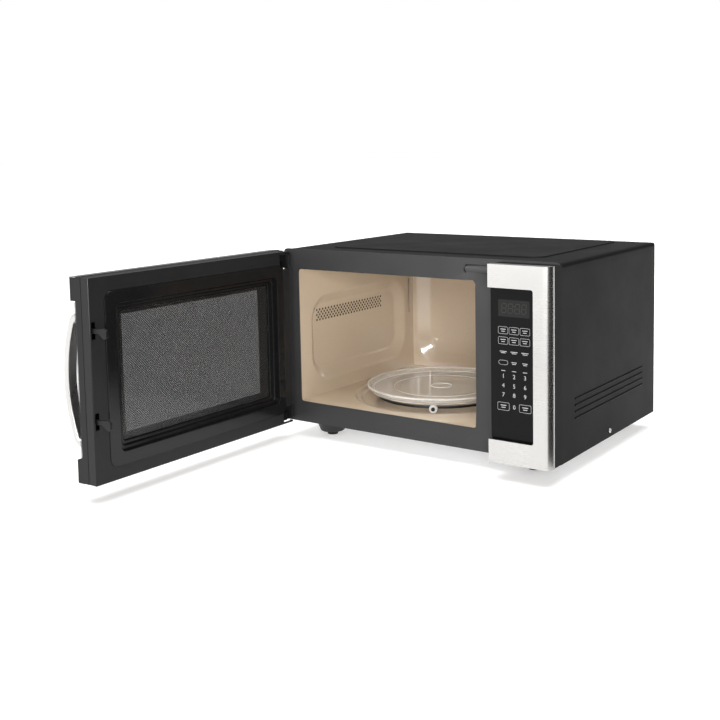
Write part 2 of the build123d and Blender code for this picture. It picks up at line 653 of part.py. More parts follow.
def make_waveguide():
    """The box duct from the magnetron to the cavity's inlet."""
    x0 = CAVITY_RIGHT + SHEET
    y0, y1 = GUIDE_Y
    z0, z1 = GUIDE_Z
    duct = block(x0, GUIDE_END, y0 - GUIDE_WALL, y1 + GUIDE_WALL, z0 - GUIDE_WALL, z1 + GUIDE_WALL)
    duct -= block(x0 - 1, GUIDE_END - GUIDE_WALL, y0, y1, z0, z1)
    hole = rod("X", (GUIDE_END, ANTENNA_Y, ANTENNA_Z), ANTENNA_RADIUS + 3.5, 6)
    keep("waveguide", duct - hole)


def make_magnetron():
    """The magnetron: its yoke with cooling fins, filter box and antenna."""
    y0, y1 = MAGNETRON_Y
    z0, z1 = MAGNETRON_Z
    x0, x1 = GUIDE_END, GUIDE_END + MAGNETRON_WIDTH
    wall = YOKE_WALL
    yoke = block(x0, x1, y0, y1, z0, z1)
    yoke -= block(x0 + wall, x1 - wall, y0 - 1, y1 + 1, z0 + wall, z1 - wall)
    yoke += rod("X", ((x0 + x1) / 2, ANTENNA_Y, ANTENNA_Z), ANODE_RADIUS, x1 - x0)
    for index in range(FIN_COUNT):
        x = x0 + 8 + index * FIN_PITCH
        yoke += block(x, x + FIN_THICK, y0 + 3, y1 - 3, z0, z1)
    yoke += block(x1, x1 + FILTER_BOX, y0 + 8, y1 - 8, z0 + 14, z1 - 14)
    yoke += rod("X", (GUIDE_END - 12, ANTENNA_Y, ANTENNA_Z), ANTENNA_RADIUS, ANTENNA_LENGTH)
    keep("magnetron", yoke)


CORE = (158.0, 238.0, 74.0, 134.0, BASE + PLATE, BASE + 68.0)
CORE_LEG = 13.0  # width of each outer leg
CORE_YOKE = 14.0  # height of iron above and below the windows
CORE_WINDOW = 17.0
COIL_HEAD = 12.0  # how far the windings stand out in front of and behind the core
CORE_FOOT = (10.0, 12.0, 2.0)  # reach past the core, depth and thickness


def make_transformer():
    """The high-voltage transformer: a laminated core round two windings."""
    x0, x1, y0, y1, z0, z1 = CORE
    inner0, inner1 = x0 + CORE_LEG, x1 - CORE_LEG
    low, high = z0 + CORE_YOKE, z1 - CORE_YOKE
    core = block(*CORE)
    for side in (inner0, inner1 - CORE_WINDOW):
        core -= block(side, side + CORE_WINDOW, y0 - 1, y1 + 1, low, high)
    coil = block(inner0, inner1, y0 - COIL_HEAD, y1 + COIL_HEAD, low, high)
    coil -= block(inner0 + CORE_WINDOW, inner1 - CORE_WINDOW, y0 - 20, y1 + 20, z0, z1)
    for y in ((y0 - COIL_HEAD, y0), (y1, y1 + COIL_HEAD)):
        coil += block(inner0, inner1, *y, low, high)
    reach, depth, thick = CORE_FOOT
    for foot_y in (y0 + 4, y1 - 4 - depth):
        core += block(x0 - reach, x1 + reach, foot_y, foot_y + depth, z0, z0 + thick)
    keep("transformer_core", core)
    keep("transformer_windings", coil)


CAPACITOR_Y, CAPACITOR_Z = 190.0, BASE + PLATE + 16.5
CAN_X = (156.0, 244.0)
CAN_WIDE, CAN_TALL = 52.0, 33.0
CLAMP_GAP, CLAMP_THICK, CLAMP_WIDTH = 0.05, 0.95, 16.0
TAB = 9.0  # length of the capacitor's two terminals


def oval_bar(x0, x1, wide, tall):
    """An oval bar along X at the capacitor's height."""
    middle = Pos((x0 + x1) / 2, CAPACITOR_Y, CAPACITOR_Z) * Rot(0, 90, 0)
    return middle * extrude(SlotOverall(wide, tall, rotation=90), (x1 - x0) / 2, both=True)


def make_capacitor():
    """The oval high-voltage capacitor lying in its clamp, and the rectifier beside it."""
    x0, x1 = CAN_X
    can = oval_bar(x0, x1, CAN_WIDE, CAN_TALL)
    for y in (CAPACITOR_Y - 9, CAPACITOR_Y + 9):
        can += block(x0 - TAB, x0, y - 3, y + 3, CAPACITOR_Z - 0.4, CAPACITOR_Z + 0.4)
    keep("capacitor", can)
    band_x0 = 188.0
    band_x1 = band_x0 + CLAMP_WIDTH
    inner = 2 * CLAMP_GAP
    outer = inner + 2 * CLAMP_THICK
    band = oval_bar(band_x0, band_x1, CAN_WIDE + outer, CAN_TALL + outer)
    band -= oval_bar(band_x0 - 1, band_x1 + 1, CAN_WIDE + inner, CAN_TALL + inner)
    floor = BASE + PLATE
    band &= block(band_x0 - 8, band_x1 + 10, CAPACITOR_Y - 70, CAPACITOR_Y + 70, floor, BASE + 60)
    band += block(band_x0, band_x1, CAPACITOR_Y + 26.2, CAPACITOR_Y + 40, floor, floor + 1.2)
    keep("capacitor_clamp", band)
    diode = block(150, 168, 226, 234, floor + 1.2, BASE + 10)
    for lead_x0, lead_x1 in ((140, 150), (168, 176)):
        diode += block(lead_x0, lead_x1, 229.5, 230.5, BASE + 5, BASE + 6)
    keep("high_voltage_diode", diode)


FAN_X, FAN_Z, FAN_Y = 196.0, BASE + 160.0, 318.0
FAN_RADIUS = 46.0
FAN_BLADES = 6
FAN_SHAFT = 2.0
FAN_HUB = 12.0
BLADE = (32.0, 1.4, 20.0)  # length, thickness and width of one blade
BLADE_PITCH = 32.0  # degrees
MOTOR_HALF_X, MOTOR_HALF_Z = 38.0, 26.0
MOTOR_DEPTH = 20.0
MOTOR_GAP = 16.0  # behind the shroud's plate
ARM_X = 33.0  # the two arms that carry the motor
ARM_HALF = 4.0
ARM_THICK = 3.0


def make_fan():
    """The cooling fan: shroud, shaded-pole motor and blade."""
    plate = block(134, 258, FAN_Y - 2, FAN_Y, BASE + 96, BASE + 222)
    collar = rod("Y", (FAN_X, FAN_Y - 8, FAN_Z), FAN_RADIUS + 5, 16)
    shroud = plate + collar - rod("Y", (FAN_X, FAN_Y, FAN_Z), FAN_RADIUS + 3, 60)
    arm_y0, arm_y1 = FAN_Y + MOTOR_GAP - ARM_THICK, FAN_Y + MOTOR_GAP
    arm_low = FAN_Z - 56
    for side in (-1, 1):
        x0, x1 = FAN_X + side * ARM_X - ARM_HALF, FAN_X + side * ARM_X + ARM_HALF
        shroud += block(x0, x1, FAN_Y - 2, arm_y1, arm_low, arm_low + 6)
        shroud += block(x0, x1, arm_y0, arm_y1, arm_low, arm_low + 42)
    keep("fan_shroud", shroud)

    motor = block(
        FAN_X - MOTOR_HALF_X, FAN_X + MOTOR_HALF_X, arm_y1, arm_y1 + MOTOR_DEPTH,
        FAN_Z - MOTOR_HALF_Z, FAN_Z + MOTOR_HALF_Z,
    )
    motor += rod("Y", (FAN_X, FAN_Y + 26, FAN_Z), 20, 36)
    motor -= rod("Y", (FAN_X, FAN_Y + 8, FAN_Z), FAN_SHAFT + PIN_FIT, 30)
    keep("fan_motor", motor)

    blade = rod("Y", (FAN_X, FAN_Y - 6, FAN_Z), FAN_HUB, 14)
    blade += rod("Y", (FAN_X, FAN_Y + 10, FAN_Z), FAN_SHAFT, 26)
    vane = Pos(26, 0, 0) * Rot(BLADE_PITCH, 0, 0) * Box(*BLADE)
    for index in range(FAN_BLADES):
        turn = Rot(0, 360 / FAN_BLADES * index, 0)
        blade += Pos(FAN_X, FAN_Y - 7, FAN_Z) * turn * vane
    keep("fan_blade", blade)


DUCT = (CAVITY_RIGHT + SHEET, 188.0, 190.0, 300.0, BASE + 228.0, BASE + 262.0)
DUCT_WALL = 1.6


def make_air_duct():
    """The plastic duct that leads cooling air over the magnetron to the cavity's vents."""
    x0, x1, y0, y1, z0, z1 = DUCT
    wall = DUCT_WALL
    inner = block(x0 + wall, x1 - wall, y0 + wall, y1 + 20, z0 + wall, z1 - wall)
    keep("air_duct", block(*DUCT) - inner)


LAMP_Y, LAMP_Z = 56.0, BASE + 245.0
LAMP_GLASS_RADIUS = 8.0
LAMP_CAP_RADIUS = 6.0


def make_lamp():
    """The cavity lamp and its holder on the right wall."""
    x = CAVITY_RIGHT + SHEET
    holder = block(x, x + 3, LAMP_Y - 20, LAMP_Y + 20, LAMP_Z - 17, LAMP_Z + 21)
    holder += block(x, x + 34, LAMP_Y - 20, LAMP_Y - 17, LAMP_Z - 17, LAMP_Z + 17)
    holder += block(x + 26, x + 34, LAMP_Y - 17, LAMP_Y + 18, LAMP_Z - 13, LAMP_Z + 13)
    holder -= rod("X", (x, LAMP_Y, LAMP_Z), LAMP_GLASS_RADIUS + 5, 8)
    keep("lamp_holder", holder)
    glass = rod("X", (x + 10, LAMP_Y, LAMP_Z), LAMP_GLASS_RADIUS, 15)
    bulb = rod("X", (x + 21, LAMP_Y, LAMP_Z), LAMP_CAP_RADIUS, 10)
    bulb += fillet(glass.edges().filter_by(GeomType.CIRCLE), 6.0)
    keep("oven_lamp", bulb)


CUTOUT_RADIUS, CUTOUT_HEIGHT = 9.0, 8.0


def make_thermal_cutouts():
    """Two disc thermostats, one on the cavity ceiling and one on the magnetron."""
    lift = CUTOUT_HEIGHT / 2
    discs = rod("Z", (60, 200, CAVITY_CEILING + SHEET + lift), CUTOUT_RADIUS, CUTOUT_HEIGHT)
    over_magnetron = (GUIDE_END + 45, ANTENNA_Y, MAGNETRON_Z[1] + lift)
    discs += rod("Z", over_magnetron, CUTOUT_RADIUS, CUTOUT_HEIGHT)
    keep("thermal_cutouts", discs)


FILTER_X = (150.0, 238.0)
FILTER_Z = (BASE + 46.0, BASE + 92.0)
FILTER_STANDOFF = 8.4  # board to rear panel


def make_filter_board():
    """The mains filter board with its choke, fuse clips and capacitor, on the rear panel."""
    back = CASE_DEPTH - SHEET - PLATE
    face = back - FILTER_STANDOFF - BOARD_THICK
    x0, x1 = FILTER_X
    z0, z1 = FILTER_Z
    board = block(x0, x1, face, face + BOARD_THICK, z0, z1)
    for x in (x0 + 4, x1 - 4):
        for z in (z0 + 4, z1 - 4):
            board += rod("Y", (x, back - FILTER_STANDOFF / 2, z), 2.5, FILTER_STANDOFF)
    board += rod("X", (180, face - 7, BASE + 60), 3.2, 24)
    board += block(206, 230, face - 16, face, BASE + 54, BASE + 78)
    for x in (168, 186):
        board += block(x, x + 6, face - 4, face, BASE + 57, BASE + 63)
    keep("filter_board", board)


# ---------------------------------------------------------------- interlock

SWITCH_HEIGHTS = (HOOK_HEIGHTS[0] - 30.0, HOOK_HEIGHTS[1] + 34.0, HOOK_HEIGHTS[1] - 30.0)
SWITCH_Y = 14.0
PLUNGER_TRAVEL = 1.2


def make_interlock():
    """The bracket behind the latch slots with its catches, three switches and their plungers."""
    x0 = CAVITY_RIGHT + SHEET + 2
    low, high = HOOK_HEIGHTS[1] - 42, HOOK_HEIGHTS[0] + 24
    web = block(x0, HOOK_X + LATCH_SLOT_HALF_X + 4, PLATE, PLATE + 3, low, high)
    for z in HOOK_HEIGHTS:
        web -= block(
            HOOK_X - LATCH_SLOT_HALF_X, HOOK_X + LATCH_SLOT_HALF_X, 0, 9,
            z - LATCH_SLOT_HALF_Z, z + LATCH_SLOT_HALF_Z,
        )
    web += block(HOOK_X + LATCH_SLOT_HALF_X + 1, HOOK_X + LATCH_SLOT_HALF_X + 4, PLATE, 44, low, high)
    for z in HOOK_HEIGHTS:
        web += block(
            HOOK_X - 5, HOOK_X + LATCH_SLOT_HALF_X + 4, PLATE + 3, 14,
            z - LATCH_SLOT_HALF_Z - 3, z - LATCH_SLOT_HALF_Z,
        )
    keep("interlock_bracket", web)

    bodies = []
    for index, z in enumerate(SWITCH_HEIGHTS):
        side = HOOK_X + LATCH_SLOT_HALF_X + 1
        case = block(side - 10.3, side, SWITCH_Y + 4, SWITCH_Y + 20, z - 14, z + 14)
        case -= rod("Y", (side - 5, SWITCH_Y + 7, z), 1.5 + PIN_FIT, 8)
        bodies.append(case)
        plunger = rod("Y", (side - 5, SWITCH_Y + 5, z), 1.5, 6)
        keep(f"switch_plunger_{index + 1}", plunger)
    keep("interlock_switches", Compound(children=bodies))


# ---------------------------------------------------------------- hinges

LEAF_PLAY = 0.6  # free height above and below a leaf in the door's corner
LEAF_TOP = FACE_TOP - STEEL - HINGE_SKIN - LEAF_PLAY
LEAF_BOTTOM = FACE_BOTTOM + STEEL + HINGE_SKIN + LEAF_PLAY


def hinge(leaf_low, leaf_high, pin_way):
    """A bent leaf on the front plate with a pin on the door's axis."""
    tip = Pos(PIVOT_X, PIVOT_Y, (leaf_low + leaf_high) / 2) * Cylinder(LEAF_HALF, LEAF)
    arm = block(PIVOT_X - LEAF_HALF + 1.2, PIVOT_X + LEAF_HALF, PIVOT_Y, 0, leaf_low, leaf_high)
    reach = 24.0
    z0, z1 = (leaf_high - reach, leaf_high) if pin_way < 0 else (leaf_low, leaf_low + reach)
    flange = block(PIVOT_X - LEAF_HALF + 1.2, PIVOT_X + LEAF_HALF, -1.1, 0, z0, z1)
    pin_z = leaf_low - PIN_LENGTH / 2 if pin_way < 0 else leaf_high + PIN_LENGTH / 2
    return tip + arm + flange + rod("Z", (PIVOT_X, PIVOT_Y, pin_z), PIN_RADIUS, PIN_LENGTH)


def make_hinges():
    """The upper and lower hinges."""
    keep("upper_hinge", hinge(LEAF_TOP - LEAF, LEAF_TOP, -1))
    keep("lower_hinge", hinge(LEAF_BOTTOM, LEAF_BOTTOM + LEAF, 1))


# ---------------------------------------------------------------- door, drawn closed

DOOR_WALL = 2.5
PANEL_EDGE = 1.0  # how far the inner panel stands inside the door's outline


def hinge_notches():
    """The space inside the door's corners that the hinge leaves sweep."""
    space = None
    for leaf_low in (LEAF_TOP - LEAF, LEAF_BOTTOM):
        low, high = leaf_low - LEAF_PLAY, leaf_low + LEAF + LEAF_PLAY
        disc = rod("Z", (PIVOT_X, PIVOT_Y, (low + high) / 2), NOTCH_RADIUS, high - low)
        disc &= block(-400, 400, NOTCH_FRONT, 50, low, high)
        space = disc if space is None else space + disc
    return space


def flange_notches():
    """The space that the hinge flanges need in front of the front plate."""
    upper = block(-400, PIVOT_X + 20, DOOR_INNER_Y - 9, 5, LEAF_TOP - 27, LEAF_TOP + LEAF_PLAY)
    lower = block(-400, PIVOT_X + 20, DOOR_INNER_Y - 9, 5, LEAF_BOTTOM - LEAF_PLAY, LEAF_BOTTOM + 27)
    return upper + lower


def make_door_frame():
    """The black moulding that the steel, the glass and the inner panel are fixed to."""
    inset = STEEL + 0.1
    left, right = DOOR_LEFT + inset, DOOR_RIGHT - 0.6
    low, high = FACE_BOTTOM + inset, FACE_TOP - inset
    back = DOOR_PANEL_BACK
    body = face_moulding(left, right, left, FACE_Y + STEEL, back, low, high, FACE_CORNER - inset)
    seat = GLASS_Y + GLASS_THICK
    body -= glass_pocket(DOOR_LEFT + SIDE_BAND, DOOR_RIGHT + 20, seat)
    wall = DOOR_WALL
    body -= block(left + wall, right - wall, seat + wall, back + 1, low + wall, high - wall)
    body -= block(WELL_LEFT, WELL_RIGHT, seat - 1, back + 1, WELL_LOW, WELL_HIGH)
    front = FACE_Y + STEEL + wall
    for z0, z1 in ((low + wall, GLASS_LOW - wall), (GLASS_HIGH + wall, high - wall)):
        body -= block(left + 12, right - wall, front, seat + 3, z0, z1)
    bush_height = LEAF + LEAF_PLAY + BUSH_LENGTH
    for z0 in (LEAF_TOP - bush_height, LEAF_BOTTOM):
        body += block(left, PIVOT_X + 9, seat, -10, z0, z0 + bush_height)
    guides = (
        (SLIDER_LEFT - GUIDE_GAP - 2, SLIDER_LEFT - GUIDE_GAP),
        (SLIDER_RIGHT + GUIDE_GAP, right - 1),
    )
    for x0, x1 in guides:
        body += block(x0, x1, seat + 1, back, SLIDER_LOW + 20, SLIDER_HIGH - 4)
    spring_seat = SLIDER_HIGH + SPRING_HEIGHT
    body += block(SLIDER_LEFT, right - 1, seat + 1, back, spring_seat, spring_seat + 3)
    for z in handle_ends():
        body -= rod("Y", (HANDLE_X, seat, z), HANDLE_SCREW + 0.1, 12)
    body -= hinge_notches()
    body -= rod("Z", (PIVOT_X, PIVOT_Y, (low + high) / 2), PIN_RADIUS + PIN_FIT, high - low - 8)
    keep("door_frame", open_door(body))


def make_door_trim():
    """The brushed steel bands of the door: top, bottom and hinge side in one piece."""
    trim = steel_face(
        DOOR_LEFT, DOOR_RIGHT, DOOR_LEFT, DOOR_LEFT + SIDE_BAND, DOOR_RIGHT + 20,
        DOOR_LEFT + STEEL, DOOR_RIGHT + 5,
    )
    keep("door_trim", open_door(trim - hinge_notches()))


HANDLE_SCREW = 2.0


def handle_end_offset():
    """Distance of the handle's feet above and below its middle."""
    slope = asin(HANDLE_HALF_SPAN / HANDLE_RADIUS)
    return HANDLE_HALF_SPAN + HANDLE_BEND * (1 - sin(slope))


def handle_ends():
    """The heights of the handle's two feet."""
    return [HANDLE_Z - handle_end_offset(), HANDLE_Z + handle_end_offset()]


def make_door_glass():
    """The tinted front glass, from the steel bands to the free edge."""
    glass = plate_xz(
        DOOR_LEFT + SIDE_BAND + 0.2, DOOR_RIGHT - 0.8, GLASS_LOW + 0.2, GLASS_HIGH - 0.2,
        GLASS_Y, GLASS_Y + GLASS_THICK, 3.6,
    )
    for z in handle_ends():
        glass -= rod("Y", (HANDLE_X, GLASS_Y, z), HANDLE_SCREW + 0.4, 20)
    keep("door_glass", open_door(glass))


def make_door_panel():
    """The pressed inner panel: a flat border, a rim round the edge and slots for the hooks."""
    left, right = DOOR_LEFT + PANEL_EDGE + 2.2, DOOR_RIGHT - PANEL_EDGE
    low, high = FACE_BOTTOM + PANEL_EDGE, FACE_TOP - PANEL_EDGE
    back = DOOR_PANEL_BACK
    outer = block(left, right, back, DOOR_INNER_Y, low, high)
    outer = fillet(edges_along(outer, Axis.Z, y=DOOR_INNER_Y), 1.6)
    inner = block(
        left + DOOR_SKIN, right - DOOR_SKIN, back - 1, DOOR_INNER_Y - DOOR_SKIN,
        low + DOOR_SKIN, high - DOOR_SKIN,
    )
    panel = outer - inner
    panel -= plate_xz(WELL_LEFT - 1, WELL_RIGHT + 1, WELL_LOW - 1, WELL_HIGH + 1, -40, 5, 9)
    for z in HOOK_HEIGHTS:
        panel -= block(HOOK_X - 3.6, HOOK_X + 3.6, -10, 5, z - 11, z + 14)
    bushes = block(-400, PIVOT_X + 9.4, -60, -9.6, 0, BASE + 40)
    bushes += block(-400, PIVOT_X + 9.4, -60, -9.6, BASE + 270, 400)
    keep("door_panel", open_door(panel - hinge_notches() - flange_notches() - bushes))


COVER_WALL = 1.6


def make_choke_cover():
    """The black frame over the microwave choke, stepping down to the screen."""
    cover = plate_xz(
        COVER_LEFT, COVER_RIGHT, COVER_LOW, COVER_HIGH, DOOR_INNER_Y, DOOR_INNER_Y + COVER_PROUD, 14
    )
    cover = chamfer(cover.edges().group_by(Axis.Y)[-1], 0.5)
    back = SCREEN_Y
    cover += plate_xz(WELL_LEFT, WELL_RIGHT, WELL_LOW, WELL_HIGH, back, DOOR_INNER_Y, 9)
    wells = [(COVER_WALL, -8.0), (8.0, -12.5), (14.0, back - 1)]
    for inset, depth in wells:
        cover -= plate_xz(
            WELL_LEFT + inset, WELL_RIGHT - inset, WELL_LOW + inset, WELL_HIGH - inset, depth, 5, 9
        )
    keep("choke_cover", open_door(cover))


def make_door_screen():
    """The perforated metal screen behind the window, with its sealing film on the oven side."""
    screen = block(WELL_LEFT, WELL_RIGHT, SCREEN_Y - 0.8, SCREEN_Y, WELL_LOW, WELL_HIGH)
    keep("door_screen", open_door(screen))
    film = plate_xz(
        WELL_LEFT + 15, WELL_RIGHT - 15, WELL_LOW + 15, WELL_HIGH - 15, SCREEN_Y, SCREEN_Y + 0.5, 9
    )
    keep("window_film", open_door(film))


def make_door_handle():
    """The bow handle: a flat bar bent in an arc, its ends turned in to the door."""
    slope = asin(HANDLE_HALF_SPAN / HANDLE_RADIUS)
    drop = HANDLE_RADIUS * (1 - cos(slope))
    end_y = HANDLE_PEAK_Y + drop + HANDLE_BEND * cos(slope)
    reach = handle_end_offset()

    def spot(y, z):
        return (HANDLE_X, y, HANDLE_Z + z)

    middle = ThreePointArc(
        spot(HANDLE_PEAK_Y + drop, -HANDLE_HALF_SPAN), spot(HANDLE_PEAK_Y, 0),
        spot(HANDLE_PEAK_Y + drop, HANDLE_HALF_SPAN),
    )
    path = middle
    half = (radians(90) + slope) / 2
    for way in (-1, 1):
        centre_y = HANDLE_PEAK_Y + drop + HANDLE_BEND * cos(slope)
        centre_z = HANDLE_HALF_SPAN - HANDLE_BEND * sin(slope)
        bend = ThreePointArc(
            spot(HANDLE_PEAK_Y + drop, way * HANDLE_HALF_SPAN),
            spot(centre_y - HANDLE_BEND * cos(half), way * (centre_z + HANDLE_BEND * sin(half))),
            spot(end_y, way * reach),
        )
        path = path + bend + Line(spot(end_y, way * reach), spot(GLASS_Y, way * reach))
    wire = Wire(path.edges())
    start = Plane(origin=wire @ 0, x_dir=(1, 0, 0), z_dir=wire % 0)
    bar = sweep(start * RectangleRounded(HANDLE_WIDTH, HANDLE_THICK, 4.0), path=wire)
    for way in (-1, 1):
        bar -= rod("Y", spot(GLASS_Y, way * reach), HANDLE_SCREW, 24)
    keep("door_handle", open_door(bar))


def make_handle_screws():
    """Two screws from inside the door into the handle's feet."""
    seat = GLASS_Y + GLASS_THICK + DOOR_WALL
    screws = [
        screw(facing("+Y", (HANDLE_X, seat, z)), shank=HANDLE_SCREW, length=16) for z in handle_ends()
    ]
    keep("handle_screws", open_door(Compound(children=screws)))


# ---------------------------------------------------------------- latch, in the door


def hook(z):
    """One latch hook: an arm out of the door with a barbed head that points down."""
    tip = DOOR_INNER_Y + HOOK_REACH
    outline = Polyline(
        (SLIDER_FRONT - 1, z - 5), (DOOR_INNER_Y + 12, z - 1), (tip - 6, z - 9), (tip, z - 6),
        (tip, z + 4),
        (tip - 5, z + 7), (DOOR_INNER_Y + 8, z + 5), (SLIDER_FRONT - 1, z + 5), close=True,
    )
    face = Plane(origin=(HOOK_X, 0, 0), x_dir=(0, 1, 0), z_dir=(1, 0, 0)) * make_face(outline)
    return extrude(face, HOOK_THICK / 2, both=True)


def make_latch():
    """The upright slider with both hooks, and the spring that presses it down."""
    slider = block(SLIDER_LEFT, SLIDER_RIGHT, SLIDER_BACK, SLIDER_FRONT, SLIDER_LOW, SLIDER_HIGH)
    for z in HOOK_HEIGHTS:
        slider += hook(z)
    keep("latch_slider", open_door(slider))
    length = SPRING_HEIGHT - 2 * SPRING_WIRE - 0.2
    coil = Helix(pitch=length / SPRING_TURNS, height=length, radius=SPRING_RADIUS)
    section = Plane(origin=coil @ 0, z_dir=coil % 0) * Circle(SPRING_WIRE)
    place = Pos(HOOK_X - 0.3, (SLIDER_BACK + SLIDER_FRONT) / 2, SLIDER_HIGH + SPRING_WIRE + 0.1)
    keep("latch_spring", open_door(place * sweep(section, path=coil, is_frenet=True)))


# ---------------------------------------------------------------- build and write

make_outer_casing()
make_base_plate()
make_foot_dishes()
make_feet()
make_rear_panel()
make_cord_gland()
make_front_plate()
make_casing_screws()
make_cavity_left_wall()
make_cavity_right_wall()
make_cavity_rear_wall()
make_cavity_ceiling()
make_cavity_floor()
make_waveguide_cover()
make_turntable_motor()
make_drive_coupler()
make_roller_ring()
make_rollers()
make_glass_tray()
make_control_housing()
make_control_bezel()
make_control_glass()
make_keypad_membrane()
make_display_module()
make_control_board()
make_waveguide()
make_magnetron()
make_transformer()
make_capacitor()
make_fan()
make_air_duct()
make_lamp()
make_thermal_cutouts()
make_filter_board()
make_interlock()
make_hinges()
make_door_frame()
make_door_trim()
make_door_glass()
make_door_panel()
make_choke_cover()
make_door_screen()
make_door_handle()
make_handle_screws()
make_latch()

for name, shape in pieces.items():
    export_step(shape, f"parts/{name}.step")
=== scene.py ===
"""Looks of a countertop microwave oven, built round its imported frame.

Lengths in this script are millimetres until a mesh is made, then metres, in the frame's axes:
+X right as one faces the oven, +Y into it, +Z up. Door pieces are drawn closed and swung open.
"""

import json
import math

import bmesh
import bpy
import numpy as np
from mathutils import Matrix, Vector


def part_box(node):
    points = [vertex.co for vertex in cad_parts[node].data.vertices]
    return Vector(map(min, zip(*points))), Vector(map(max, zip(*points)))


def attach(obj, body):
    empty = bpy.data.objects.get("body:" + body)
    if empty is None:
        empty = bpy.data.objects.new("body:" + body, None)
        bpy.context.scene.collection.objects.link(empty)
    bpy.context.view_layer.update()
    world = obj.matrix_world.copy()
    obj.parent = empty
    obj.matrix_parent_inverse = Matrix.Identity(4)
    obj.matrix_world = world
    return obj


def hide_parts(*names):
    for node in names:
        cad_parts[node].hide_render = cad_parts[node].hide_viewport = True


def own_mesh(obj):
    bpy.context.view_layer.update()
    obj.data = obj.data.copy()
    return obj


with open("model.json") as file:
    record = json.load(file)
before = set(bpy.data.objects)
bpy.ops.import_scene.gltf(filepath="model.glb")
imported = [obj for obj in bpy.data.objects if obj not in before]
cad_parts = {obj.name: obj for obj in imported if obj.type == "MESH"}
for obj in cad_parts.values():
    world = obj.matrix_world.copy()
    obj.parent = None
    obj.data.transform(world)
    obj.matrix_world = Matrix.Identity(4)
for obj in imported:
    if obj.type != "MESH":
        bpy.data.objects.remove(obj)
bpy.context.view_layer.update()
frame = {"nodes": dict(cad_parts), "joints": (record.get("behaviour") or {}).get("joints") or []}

MM = 0.001

# ---------------------------------------------------------------- places, from the frame


def place(node):
    """Low and high corners of a CAD node in millimetres."""
    low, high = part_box(node)
    return np.array(low) / MM, np.array(high) / MM


plate_low, plate_high = place("front_plate")
case_low, case_high = place("outer_casing")
tray_low, tray_high = place("glass_tray")
ceiling_low, ceiling_high = place("cavity_ceiling")

SHEET = 0.8  # thickness of the steel sheets
HALF = plate_high[0]  # half the cabinet's width
BASE = place("base_plate")[0][2]
TOP = plate_high[2]
DEPTH = case_high[1]
GLASS_FACE = place("control_glass")[0][1]
CAVITY_LEFT, CAVITY_RIGHT = ceiling_low[0] + SHEET, ceiling_high[0] - SHEET
CAVITY_FRONT, CAVITY_BACK = ceiling_low[1], ceiling_high[1]
CAVITY_FLOOR, CAVITY_CEILING = place("cavity_floor")[1][2], ceiling_low[2]
TABLE_X, TABLE_Y = (tray_low[0] + tray_high[0]) / 2, (tray_low[1] + tray_high[1]) / 2
TRAY_HEIGHT = 12.0
TRAY_Z = tray_high[2] - TRAY_HEIGHT
# Rings of milky glass: the first two lie inside the rim's lip and foot as painted highlights of its
# edges; the rest follow moulded ridges on the top, and their whiteness is painted highlight too.
TRAY_RIDGE_AND_GLINT_RINGS = (  # radius, height over the tray's underside, half thickness
    (133.3, 10.3, 1.35), (127.6, 1.3, 1.1), (123.0, 4.4, 0.7), (86.0, 4.4, 0.6), (18.6, 4.5, 1.1),
)

hinge = next(j for j in frame["joints"] if j["name"] == "door_hinge")
PIVOT = Vector(hinge["pos_m"])
DOOR_OPEN = math.radians(hinge["range_deg"][1])
SWING = (
    Matrix.Translation((PIVOT.x, PIVOT.y, 0))
    @ Matrix.Rotation(-DOOR_OPEN, 4, "Z")
    @ Matrix.Translation((-PIVOT.x, -PIVOT.y, 0))
)

# the door, drawn closed; areas are x, x, z, z
DOOR_EDGE = -268.8  # hinge side of the inner panel
DOOR_RIM_Y = -18.5
COVER = (-250.0, 136.0, BASE + 21.5, BASE + 283.5)
WELL = (-236.0, 117.0, BASE + 40.0, BASE + 265.0)
SCREEN_Y = -15.0
MESH_FIELD = (-200.0, 98.0, BASE + 66.0, BASE + 245.0)
HOOK_X, HOOK_HEIGHTS = 157.0, (BASE + 95.0, BASE + 228.0)
HINGE_LEAF = 2.0  # thickness

# ---------------------------------------------------------------- materials


def node(tree, kind, **values):
    """A shader node with sockets or properties set by name; _ is a space in a socket's name."""
    made = tree.nodes.new("ShaderNode" + kind)
    for key, value in values.items():
        socket = key.replace("_", " ")
        if socket in made.inputs:
            made.inputs[socket].default_value = value
        else:
            setattr(made, key, value)
    return made


def colour_ramp(tree, *stops):
    """A colour ramp node from (position, colour) stops in rising order."""
    made = node(tree, "ValToRGB")
    marks = made.color_ramp.elements
    for mark, (position, colour) in ((marks[0], stops[0]), (marks[1], stops[-1])):
        mark.position = position
        mark.color = (*colour, 1)
    for position, colour in stops[1:-1]:
        marks.new(position).color = (*colour, 1)
    return made


